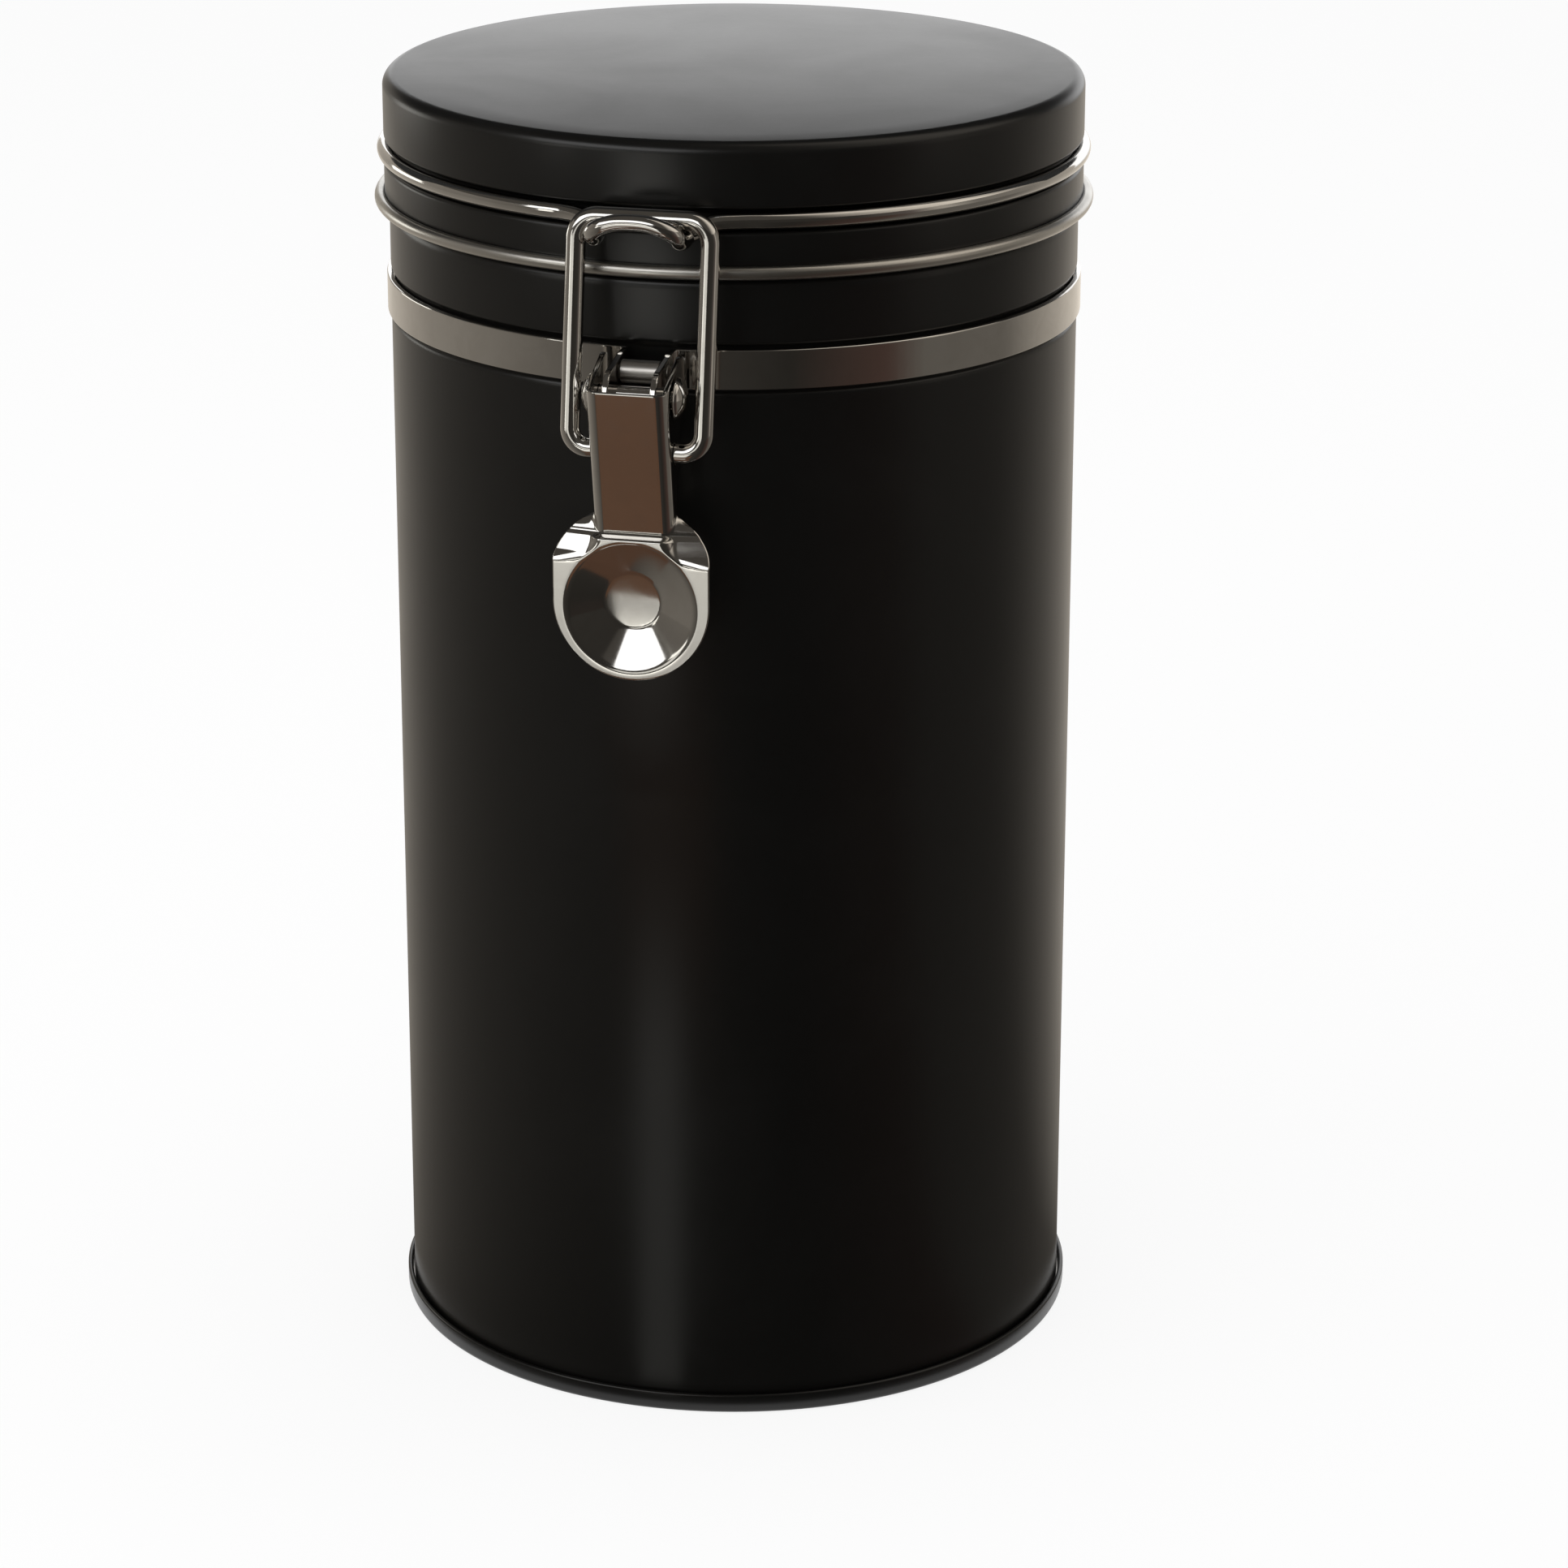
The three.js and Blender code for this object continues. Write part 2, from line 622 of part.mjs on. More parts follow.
function makeRingWire() {
  const half = [
    [hookHalf + 3.7, ringRadius - 0.35, ringHeight - 0.2],
    [hookHalf + 2.0, lidRadius + 0.6, ringHeight - 0.95],
    [hookHalf + 0.7, bailBar.out - 1.4, hookFoot + 0.4],
    [hookHalf + 0.2, bailBar.out + 0.2, hookFoot],
    [hookHalf, hookOut - 2.6, hookFoot + 0.3],
    [hookHalf - 0.2, hookOut - 1.1, hookFoot + 1.4],
    [hookHalf - 1.5, hookOut - 0.2, hookUp - 1.0],
    [hookHalf - 3.8, hookOut, hookUp - 0.2],
  ].map(([x, out, up]) => new THREE.Vector3(x, -out, up));
  const mirror = (p) => new THREE.Vector3(-p.x, p.y, p.z);
  const shift = new THREE.Vector3(hookShift, 0, 0);
  const hook = new THREE.CatmullRomCurve3(
    [
      ringStation(-18),
      ringStation(-14.5),
      ...half.map((p) => mirror(p).add(shift)),
      new THREE.Vector3(hookShift, -hookOut, hookUp),
      ...half.map((p) => p.clone().add(shift)).reverse(),
      ringStation(14.5),
      ringStation(18),
    ],
    false,
    'centripetal',
  ).getSpacedPoints(36);
  const leg = [
    ringStation(164),
    ringStation(168),
    new THREE.Vector3(legHalf + 2.7, lidRadius - 0.1, ringHeight - 0.1),
    new THREE.Vector3(legHalf + 1.0, lidRadius + 1.8, ringHeight - 0.6),
    new THREE.Vector3(legHalf + 0.2, legOut - 0.5, ringHeight - 1.9),
    new THREE.Vector3(legHalf, legOut, ringHeight - 3.9),
    new THREE.Vector3(legHalf, legOut, hingeUp + 6.1),
    new THREE.Vector3(legHalf, hingeOut + 0.75, hingeUp + 2.8),
    new THREE.Vector3(legHalf - 0.4, hingeOut + 0.15, hingeUp + 0.7),
    new THREE.Vector3(legHalf - 1.4, hingeOut, hingeUp),
    new THREE.Vector3(legHalf - 2.4, hingeOut, hingeUp),
  ];
  const legBend = new THREE.CatmullRomCurve3(leg, false, 'centripetal').getSpacedPoints(18);
  const rightLeg = [...legBend, new THREE.Vector3(pinGap / 2, hingeOut, hingeUp)];
  const rightArc = [];
  for (let degrees = 24; degrees < 162; degrees += 6) {
    rightArc.push(ringStation(degrees));
  }
  const right = [...rightArc, ...rightLeg];
  const left = right.map(mirror).reverse();
  return wire([...left, ...hook, ...right], ringWireRadius);
}

// Hinge leaf: a plate on the strap, rolled at its upper edge into a knuckle for the ring wire's ends
function makeHingeLeaf() {
  const spread = THREE.MathUtils.radToDeg(leafWidth / 2 / leafInner);
  const plan = new THREE.Shape([
    ...arc(0, 0, leafOuter, 90 - spread, 90 + spread, 6),
    ...arc(0, 0, leafInner, 90 + spread, 90 - spread, 6),
  ]);
  const plate = new THREE.ExtrudeGeometry(plan, { depth: leafHigh - leafLow, bevelEnabled: false });
  const halfWidth = leafWidth / 2 - 0.1;
  const corner = leafCorner;
  const trim = new THREE.Shape([
    ...arc(halfWidth - corner, leafLow + corner, corner, 270, 360, 3),
    ...arc(halfWidth - corner, leafHigh - corner, corner, 0, 90, 3),
    ...arc(corner - halfWidth, leafHigh - corner, corner, 90, 180, 3),
    ...arc(corner - halfWidth, leafLow + corner, corner, 180, 270, 3),
  ]);
  const roll = new THREE.Shape([
    v2(-leafInner, leafHigh - 2),
    ...arc(-hingeOut, hingeUp, knuckleOuter, 0, 305, 14),
    ...arc(-hingeOut, hingeUp, knuckleInner, 305, 0, 14),
    v2(-leafOuter, leafHigh - 2),
  ]);
  let leaf = solid(plate.translate(0, 0, leafLow));
  leaf = leaf.intersect(solid(facing(trim, leafInner - 3, leafOuter + 3)));
  leaf = leaf.add(solid(sideways(roll, -knuckleWidth / 2, knuckleWidth / 2)));
  for (const turn of [leafRivetTurn, -leafRivetTurn]) {
    leaf = leaf.subtract(boreRear(turn, leafRivetUp, leafRivetRadius + holeGap));
  }
  return geometryOf(leaf);
}

// Rivet through the leaf and the strap, its head outside
function makeHingeRivet(turn) {
  const seat = leafOuter + seatGap;
  const dome = (leafRivetHead ** 2 + leafRivetRise ** 2) / (2 * leafRivetRise);
  const reach = THREE.MathUtils.radToDeg(Math.asin(leafRivetHead / dome));
  const profile = [
    v2(0, strapInner + 0.05),
    v2(leafRivetRadius, strapInner + 0.05),
    v2(leafRivetRadius, seat),
    ...arc(0, seat + leafRivetRise - dome, dome, 90 - reach, 90, 3),
  ];
  profile[profile.length - 1].x = 0;
  const rivet = new THREE.LatheGeometry(profile, 12);
  return rivet.rotateZ(turn).translate(0, 0, leafRivetUp);
}

// Finishes
const lacquer = { color: 0x171614, roughness: 0.32, metalness: 0.2 };
const plated = { color: 0xc4bfb6, roughness: 0.12, metalness: 1 };
const silicone = { color: 0xd8d6d0, roughness: 0.7, metalness: 0 };

const canister = new THREE.Group();

function place(name, geometry, finish) {
  const mesh = new THREE.Mesh(geometry, new THREE.MeshStandardMaterial(finish));
  mesh.name = name;
  mesh.position.y = axisY;
  canister.add(mesh);
}

place('body_shell', makeBody(), lacquer);
place('base_panel', makeBase(), lacquer);
place('lid_shell', makeLid(), lacquer);
place('lid_gasket', makeGasket(), silicone);
place('ring_wire', makeRingWire(), plated);
place('strap', makeStrap(), plated);
place('tie_pin', makeTiePin(), plated);
place('pivot_rivet', makePivotRivet(), plated);
place('lever', makeLever(), plated);
place('bail', makeBail(), plated);
place('hinge_leaf', makeHingeLeaf(), plated);
place('hinge_rivet_left', makeHingeRivet(leafRivetTurn), plated);
place('hinge_rivet_right', makeHingeRivet(-leafRivetTurn), plated);

export default canister;
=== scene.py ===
"""Coffee canister with a wire-bail lever latch: its pieces and finishes, laid out as an add-on."""
import math
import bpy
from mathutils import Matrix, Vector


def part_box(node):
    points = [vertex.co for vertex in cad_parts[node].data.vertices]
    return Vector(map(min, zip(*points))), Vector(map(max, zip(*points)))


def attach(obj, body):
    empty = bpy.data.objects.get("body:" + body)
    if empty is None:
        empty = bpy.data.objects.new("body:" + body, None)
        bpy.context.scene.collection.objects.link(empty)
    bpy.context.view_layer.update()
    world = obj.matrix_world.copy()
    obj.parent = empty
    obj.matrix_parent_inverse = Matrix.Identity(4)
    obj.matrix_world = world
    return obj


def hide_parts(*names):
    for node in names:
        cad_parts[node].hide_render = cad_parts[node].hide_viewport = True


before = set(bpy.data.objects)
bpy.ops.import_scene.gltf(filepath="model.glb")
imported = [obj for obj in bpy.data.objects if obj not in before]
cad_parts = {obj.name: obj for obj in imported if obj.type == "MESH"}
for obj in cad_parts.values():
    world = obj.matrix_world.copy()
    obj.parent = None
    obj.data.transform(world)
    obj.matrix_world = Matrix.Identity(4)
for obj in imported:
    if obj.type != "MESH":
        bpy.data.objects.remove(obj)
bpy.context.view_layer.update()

from types import SimpleNamespace

import bmesh
import bpy
from bpy.props import FloatProperty, FloatVectorProperty, IntProperty, PointerProperty
from bpy.types import Operator, Panel, PropertyGroup
from mathutils import Matrix, Vector

bl_info = {
    "name": "Coffee canister",
    "version": (1, 0, 0),
    "blender": (4, 5, 0),
    "location": "View3D > Sidebar > Canister",
    "description": "Builds a sheet-metal coffee canister with a hinged lid and a lever latch",
    "category": "Mesh",
}

MM = 0.001
WIRE_SIDES = 28
SHANK_SIDES = 24
HEAD_SIDES = 40


def can_axis():
    """Where the can's axis stands along y, in millimetres."""
    low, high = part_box("body_shell")
    return (low.y + high.y) / 2 / MM


AXIS_Y = can_axis()


def length(name, description, mm):
    """Length property whose default is given in millimetres."""
    return FloatProperty(name=name, description=description, default=mm * MM, precision=5, unit='LENGTH')


def colour(name, description, rgb):
    """Colour property."""
    return FloatVectorProperty(name=name, description=description, default=rgb, size=3, min=0, max=1,
                               subtype='COLOR')


def share(name, description, value):
    """Property between nought and one."""
    return FloatProperty(name=name, description=description, default=value, min=0, max=1, subtype='FACTOR')


class CanSizes(PropertyGroup):
    """Sizes of the can, its base and its lid."""
    body_radius: length("Body radius", "Outside of the can's wall", 54.3)
    body_height: length("Body height", "Shoulder of the can above the ground", 184.2)
    body_sheet: length("Body sheet", "Thickness of the can's sheet", 0.6)
    neck_radius: length("Neck radius", "Outside of the neck under the rim", 53.0)
    neck_height: length("Neck height", "Foot of the neck above the ground", 185.8)
    rim_radius: length("Rim radius", "Radius of the rolled rim", 0.95)
    rim_height: length("Rim height", "Centre of the rolled rim above the ground", 189.5)
    rim_centre: length("Rim centre", "Centre of the rolled rim from the axis", 52.65)
    groove_depth: length("Groove depth", "Depth of the groove under the strap", 0.6)
    seam_width: length("Side seam width", "Width of the lapped seam at the back of the wall", 5.0)
    seam_rise: length("Side seam rise", "How far the lapped seam stands out", 0.18)
    foot_radius: length("Foot radius", "Outside of the base's seam", 55.4)
    foot_height: length("Foot height", "Top of the base's seam", 3.2)
    panel_height: length("Panel height", "Underside of the base's panel", 3.6)
    panel_bead: length("Panel bead", "Rise of the ring pressed into the base's panel", 0.4)
    lid_radius: length("Lid radius", "Outside of the lid's wall", 55.0)
    lid_top: length("Lid top", "Top of the lid above the ground", 206.4)
    lid_sheet: length("Lid sheet", "Thickness of the lid's sheet", 0.6)
    lid_edge: length("Lid edge", "Radius of the lid's upper edge", 1.9)
    lid_crown: length("Lid crown", "Fall of the lid's top from its middle to its edge", 0.4)
    curl_radius: length("Curl radius", "Radius of the curl at the lid's skirt", 1.05)
    curl_centre: length("Curl centre", "Centre of the curl from the axis", 55.55)
    curl_height: length("Curl height", "Centre of the curl above the ground", 186.6)
    bead_arc: length("Bead radius", "Radius of the bead rolled into the lid's wall", 1.75)
    bead_fillet: length("Bead fillet", "Radius of the bead's shoulders", 0.8)
    seal_inner: length("Seal inside", "Inside of the seal in the lid", 51.95)
    seal_outer: length("Seal outside", "Outside of the seal in the lid", 54.1)
    seal_low: length("Seal height", "Underside of the seal above the ground", 190.75)
    seal_thickness: length("Seal thickness", "Thickness of the seal", 1.1)


class LatchSizes(PropertyGroup):
    """Sizes of the strap, the lever, the bail and the lid's wire."""
    strap_low: length("Strap height", "Lower edge of the strap", 168.6)
    strap_width: length("Strap width", "Width of the strap", 6.1)
    strap_sheet: length("Strap sheet", "Thickness of the strap", 0.9)
    strap_outer: length("Strap radius", "Outside of the strap", 54.9)
    ear_outer: length("Ear", "Outer face of the strap's ears from the middle", 4.1)
    ear_nose: length("Ear nose", "Radius of the ears round the pivot", 4.2)
    pivot_out: length("Pivot reach", "Pivot from the can's axis", 63.4)
    pivot_up: length("Pivot height", "Pivot above the ground", 169.6)
    pivot_radius: length("Pivot radius", "Radius of the rivet's shank", 1.5)
    head_radius: length("Rivet head radius", "Radius of the rivet's heads", 3.3)
    head_rise: length("Rivet head rise", "Rise of the rivet's heads", 1.6)
    pin_out: length("Strap pin reach", "Pin between the ears from the can's axis", 59.5)
    pin_up: length("Strap pin height", "Pin between the ears above the ground", 172.3)
    pin_radius: length("Strap pin radius", "Radius of the pin between the ears", 1.25)
    sleeve_radius: length("Sleeve radius", "Radius of the sleeve round the pin between the ears", 1.75)
    lever_half: length("Lever half width", "Half the lever's width", 6.2)
    lever_sheet: length("Lever sheet", "Thickness of the lever's sheet", 0.8)
    lever_bend: length("Lever bend", "Outer radius of the lever's bends", 1.9)
    top_out: length("Lever top reach", "Lever's upper edge from the can's axis", 69.8)
    top_up: length("Lever top height", "Lever's upper edge above the ground", 171.5)
    foot_out: length("Lever foot reach", "Foot of the lever's face from the can's axis", 65.6)
    foot_up: length("Lever foot height", "Foot of the lever's face above the ground", 149.6)
    tab_out: length("Tab reach", "Front of the thumb tab from the can's axis", 67.0)
    tab_neck: length("Tab neck", "Neck of the thumb tab above the ground", 148.3)
    tab_shoulder: length("Tab shoulder", "Shoulders of the thumb tab above the ground", 144.6)
    tab_up: length("Tab height", "Centre of the thumb tab above the ground", 138.55)
    tab_radius: length("Tab radius", "Radius of the thumb tab", 12.0)
    dish_radius: length("Dish radius", "Radius of the tab's dish", 10.0)
    dish_up: length("Dish height", "Centre of the dish above the ground", 137.8)
    dish_side: length("Dish side", "Centre of the dish from the middle", -0.1)
    dish_depth: length("Dish depth", "Depth of the tab's dish", 3.1)
    dish_floor: length("Dish floor", "Radius of the dish's floor", 4.2)
    dish_rise: length("Dish floor rise", "How much the dish's floor rises to its edge", 0.16)
    wing_top: length("Wing top", "Where the wings begin above the tab's shoulders", 7.4)
    wing_height: length("Wing height", "Height of the wings' corner above the tab's shoulders", 4.0)
    wing_corner: length("Wing corner", "Where the wings' corner begins, from the middle", 8.3)
    bail_radius: length("Bail wire radius", "Radius of the bail's wire", 1.5)
    bail_half: length("Bail half width", "Middle of the bail's sides from the middle", 10.2)
    bail_shift: length("Bail shift", "Middle of the bail from the middle of the latch", 0.25)
    bail_end: length("Bail ends", "Ends of the bail from the middle", 4.2)
    hole_out: length("Bail hole reach", "Bail's holes from the can's axis", 64.0)
    hole_up: length("Bail hole height", "Bail's holes above the ground", 161.4)
    bar_out: length("Bail bar reach", "Bail's upper bar from the can's axis", 58.4)
    bar_up: length("Bail bar height", "Bail's upper bar above the ground", 195.22)
    ring_radius: length("Lid wire ring", "Middle of the lid's wire from the axis", 54.8)
    ring_wire: length("Lid wire radius", "Radius of the lid's wire", 1.25)
    ring_up: length("Lid wire height", "Lid's wire above the ground", 194.32)
    hook_out: length("Hook reach", "Front of the hook from the can's axis", 63.0)
    hook_up: length("Hook height", "Top of the hook above the ground", 195.62)
    hook_foot: length("Hook foot", "Lowest part of the hook above the ground", 192.2)
    hook_half: length("Hook half width", "Half the hook's width", 6.5)
    hook_shift: length("Hook shift", "Middle of the hook from the middle of the latch", -0.4)


class HingeSizes(PropertyGroup):
    """Sizes of the hinge at the back."""
    leaf_radius: length("Leaf radius", "Outside of the leaf from the can's axis", 56.0)
    leaf_sheet: length("Leaf sheet", "Thickness of the leaf", 0.8)
    leaf_half: length("Leaf half width", "Half the leaf's width", 7.2)
    leaf_low: length("Leaf foot", "Lower edge of the leaf", 167.9)
    leaf_high: length("Leaf top", "Upper edge of the leaf's plate", 175.4)
    leaf_corner: length("Leaf corner", "Radius of the leaf's corners", 2.0)
    knuckle_half: length("Knuckle half width", "Half the knuckle's width", 4.3)
    pin_out: length("Hinge reach", "Hinge's pin from the can's axis", 57.55)
    pin_up: length("Hinge height", "Hinge's pin above the ground", 178.4)
    leg_half: length("Leg spread", "Wire's legs from the middle", 6.3)
    leg_out: length("Leg reach", "Wire's legs from the can's axis", 58.7)
    rivet_spread: length("Rivet spread", "Leaf's rivets from the middle", 5.2)
    rivet_radius: length("Rivet radius", "Radius of the leaf's rivets", 1.1)
    rivet_head: length("Rivet head", "Radius of the heads of the leaf's rivets", 2.1)
    rivet_rise: length("Rivet rise", "Rise of the heads of the leaf's rivets", 1.0)


class FinishColours(PropertyGroup):
    """Colours of the finishes."""
    lacquer: colour("Lacquer", "Black lacquer outside the can", (0.0030, 0.0028, 0.0025))
    lacquer_worn: colour("Rubbed lacquer", "Lacquer where hands have rubbed it", (0.0048, 0.0045, 0.0040))
    nickel: colour("Nickel", "Bright plating of the latch and the wires", (0.67, 0.655, 0.63))
    nickel_dull: colour("Dulled nickel", "Plating where it has dulled", (0.58, 0.56, 0.53))
    tinplate: colour("Tinplate", "Bare sheet inside the can and the lid", (0.60, 0.585, 0.55))
    silicone: colour("Silicone", "Seal in the lid", (0.74, 0.73, 0.69))
    floor: colour("Floor", "Pale floor", (0.86, 0.86, 0.86))


class StageSettings(PropertyGroup):
    """Camera and light."""
    lens: FloatProperty(name="Lens", description="Focal length in millimetres", default=118.24)
    camera_place: FloatVectorProperty(name="Camera", description="Camera's place, from the can's foot",
                                      default=(0.1849, -0.776, 0.3685), size=3, subtype='TRANSLATION')
    camera_turn: FloatVectorProperty(name="Camera turn", description="Camera's rotation",
                                     default=(1.23168, -0.0017, 0.22445), size=3, subtype='EULER')
    shadow: share("Shadow", "Share of the floor's own shading that the camera sees", 0.14)
    segments: IntProperty(name="Segments", description="Facets round the can", default=192, min=24, max=512)


def in_mm(group):
    """Lengths of the can, the latch or the hinge in millimetres, by name."""
    sizes = getattr(bpy.context.scene, "canister_" + group)
    return SimpleNamespace(**{name: getattr(sizes, name) / MM for name in type(sizes).__annotations__})


# Points and outlines, in millimetres about the can's axis


def arc(x, y, radius, start, end, steps):
    """Points along an arc given in degrees, both ends included."""
    points = []
    for i in range(steps + 1):
        angle = math.radians(start + (end - start) * i / steps)
        points.append((x + radius * math.cos(angle), y + radius * math.sin(angle)))
    return points


def even_angles(count):
    """Angles round the axis, evenly spread."""
    return [2 * math.pi * i / count for i in range(count)]


def can_angles():
    """Angles of the can's facets."""
    return even_angles(bpy.context.scene.canister_stage.segments)


def rounded(corners, steps=5):
    """Outline through corners of (x, y, cut), each corner cut back and rounded."""
    points = []
    for i, (x, y, cut) in enumerate(corners):
        if cut == 0 or i in (0, len(corners) - 1):
            points.append((x, y))
            continue
        here = Vector((x, y))
        before = Vector(corners[i - 1][:2]) - here
        after = Vector(corners[i + 1][:2]) - here
        start = here + before.normalized() * min(cut, before.length * 0.48)
        end = here + after.normalized() * min(cut, after.length * 0.48)
        for k in range(steps + 1):
            t = k / steps
            points.append(tuple(start * (1 - t) ** 2 + here * 2 * t * (1 - t) + end * t ** 2))
    return points


def spline(points, steps):
    """Smooth path through points, with a number of steps between each two."""
    points = [Vector(p) for p in points]
    ends = [points[0] * 2 - points[1]] + points + [points[-1] * 2 - points[-2]]
    path = []
    for i in range(1, len(ends) - 2):
        a, b, c, d = ends[i - 1:i + 3]
        t0 = 0.0
        t1 = t0 + max((b - a).length, 1e-6) ** 0.5
        t2 = t1 + max((c - b).length, 1e-6) ** 0.5
        t3 = t2 + max((d - c).length, 1e-6) ** 0.5
        for k in range(steps):
            t = t1 + (t2 - t1) * k / steps
            ab = a.lerp(b, (t - t0) / (t1 - t0))
            bc = b.lerp(c, (t - t1) / (t2 - t1))
            cd = c.lerp(d, (t - t2) / (t3 - t2))
            abc = ab.lerp(bc, (t - t0) / (t2 - t0))
            bcd = bc.lerp(cd, (t - t1) / (t3 - t1))
            path.append(abc.lerp(bcd, (t - t1) / (t2 - t1)))
    path.append(points[-1])
    return path


def eased(stations, at):
    """Values between stations of (place, values...), without overshoot. Places fall from first to last."""
    places = [-s[0] for s in stations]
    at = min(max(-at, places[0]), places[-1])
    i = 0
    while i < len(places) - 2 and at > places[i + 1]:
        i += 1
    gap = places[i + 1] - places[i]
    t = (at - places[i]) / gap
    result = []
    for column in range(1, len(stations[0])):
        values = [s[column] for s in stations]
        slopes = [(values[k + 1] - values[k]) / (places[k + 1] - places[k]) for k in range(len(values) - 1)]

        def slope_at(k):
            if k in (0, len(slopes)) or slopes[k - 1] * slopes[k] <= 0:
                return 0.0
            return 2 / (1 / slopes[k - 1] + 1 / slopes[k])

        first, last = values[i], values[i + 1]
        result.append(first * (1 + 2 * t) * (1 - t) ** 2 + last * t * t * (3 - 2 * t)
                      + gap * (slope_at(i) * t * (1 - t) ** 2 - slope_at(i + 1) * t * t * (1 - t)))
    return result


def smooth_min(a, b, width):
    """Lesser of two values, rounded where they meet."""
    h = min(max(0.5 + 0.5 * (b - a) / width, 0.0), 1.0)
    return b + (a - b) * h - width * h * (1 - h)


def along(points, count):
    """A given number of even steps along an outline."""
    points = [Vector(p) for p in points]
    runs = [0.0]
    for a, b in zip(points, points[1:]):
        runs.append(runs[-1] + (b - a).length)
    result = []
    k = 0
    for i in range(count + 1):
        want = runs[-1] * i / count
        while k < len(runs) - 2 and runs[k + 1] < want:
            k += 1
        result.append(points[k].lerp(points[k + 1], (want - runs[k]) / max(runs[k + 1] - runs[k], 1e-9)))
    return result


def patch(top, bottom, left, right):
    """Rows of points between four sides: top and bottom run left to right, left and right run down."""
    rows = []
    last_row, last = len(left) - 1, len(top) - 1
    for i in range(last_row + 1):
        v = i / last_row
        row = []
        for j in range(last + 1):
            u = j / last
            across = left[i] * (1 - u) + right[i] * u
            down = top[j] * (1 - v) + bottom[j] * v
            upper = top[0] * (1 - u) + top[last] * u
            lower = bottom[0] * (1 - u) + bottom[last] * u
            row.append(across + down - (upper * (1 - v) + lower * v))
        rows.append(row)
    return rows


# Meshes


def mesh_of(name, points, faces=(), edges=()):
    """Mesh in the shared frame, in metres, from points in millimetres about the can's axis."""
    mesh = bpy.data.meshes.new(name)
    placed = [(p[0] * MM, (p[1] + AXIS_Y) * MM, p[2] * MM) for p in points]
    mesh.from_pydata(placed, list(edges), list(faces))
    return mesh


def face_outwards(mesh):
    """Turns a closed mesh's faces outward."""
    bm = bmesh.new()
    bm.from_mesh(mesh)
    if bm.calc_volume(signed=True) < 0:
        bmesh.ops.reverse_faces(bm, faces=bm.faces)
    bm.to_mesh(mesh)
    bm.free()


def turned(name, profile, angles, shift=None):
    """Closed shell from a profile of (radius, height) turned about the axis.

    Gives the mesh and the step of the profile that each face belongs to."""
    points, rings = [], []
    for radius, up in profile:
        if radius < 1e-6:
            rings.append([len(points)])
            points.append((0, 0, up))
            continue
        rings.append(range(len(points), len(points) + len(angles)))
        for angle in angles:
            r = radius + (shift(angle, radius, up) if shift else 0)
            points.append((r * math.cos(angle), r * math.sin(angle), up))
    faces, steps = [], []
    closed = len(rings[0]) > 1
    for k in range(len(rings) if closed else len(rings) - 1):
        a, b = rings[k], rings[(k + 1) % len(rings)]
        for i in range(len(angles)):
            j = (i + 1) % len(angles)
            corners = [a[i % len(a)], a[j % len(a)], b[j % len(b)], b[i % len(b)]]
            faces.append(list(dict.fromkeys(corners)))
            steps.append(k)
    mesh = mesh_of(name, points, faces)
    face_outwards(mesh)
    return mesh, steps


def sheet(name, front, back):
    """Closed sheet between matching rows of front and back points."""
    rows, columns = len(front), len(front[0])
    points = [p for row in front for p in row] + [p for row in back for p in row]
    faces = []

    def at(i, j, side):
        return side * rows * columns + i * columns + j

    for i in range(rows - 1):
        for j in range(columns - 1):
            faces.append((at(i, j, 0), at(i + 1, j, 0), at(i + 1, j + 1, 0), at(i, j + 1, 0)))
            faces.append((at(i, j, 1), at(i, j + 1, 1), at(i + 1, j + 1, 1), at(i + 1, j, 1)))
    edge = [(i, 0) for i in range(rows)] + [(rows - 1, j) for j in range(1, columns)]
    edge += [(i, columns - 1) for i in range(rows - 2, -1, -1)] + [(0, j) for j in range(columns - 2, 0, -1)]
    for (i, j), (k, m) in zip(edge, edge[1:] + edge[:1]):
        faces.append((at(k, m, 0), at(i, j, 0), at(i, j, 1), at(k, m, 1)))
    mesh = mesh_of(name, points, faces)
    face_outwards(mesh)
    return mesh


def add_object(name, data):
    """Object in the scene that holds a mesh, a light or a camera."""
    made = bpy.data.objects.new(name, data)
    bpy.context.scene.collection.objects.link(made)
    return made


def soft_edges(width, limit):
    """Bevel, as wide as given in millimetres, of edges sharper than a limit in degrees."""
    return 'BEVEL', {"width": width * MM, "segments": 2, "limit_method": 'ANGLE',
                     "angle_limit": math.radians(limit), "use_clamp_overlap": False}


def plain_mesh(name, mesh, *modifiers):
    """Mesh after modifiers of (kind, settings)."""
    source = add_object(name, mesh)
    for kind, settings in modifiers:
        modifier = source.modifiers.new(kind, kind)
        for key, value in settings.items():
            if kind == 'NODES' and key != "node_group":
                modifier[key] = value
            else:
                setattr(modifier, key, value)
    graph = bpy.context.evaluated_depsgraph_get()
    made = bpy.data.meshes.new_from_object(source.evaluated_get(graph), depsgraph=graph)
    source.modifiers.clear()
    bpy.data.objects.remove(source)
    made.name = name
    return made


def node_mesh(name, mesh, tree, values):
    """Mesh that a tree of geometry nodes makes from a source mesh and named values."""
    settings = {"node_group": tree}
    for item in tree.interface.items_tree:
        if item.in_out == 'INPUT' and item.name in values:
            settings[item.identifier] = values[item.name]
    return plain_mesh(name, mesh, ('NODES', settings))


def joined(name, *meshes):
    """One mesh from several, with the first one's finish."""
    bm = bmesh.new()
    for mesh in meshes:
        bm.from_mesh(mesh)
    made = meshes[0].copy()
    bm.to_mesh(made)
    bm.free()
    made.name = name
    return made


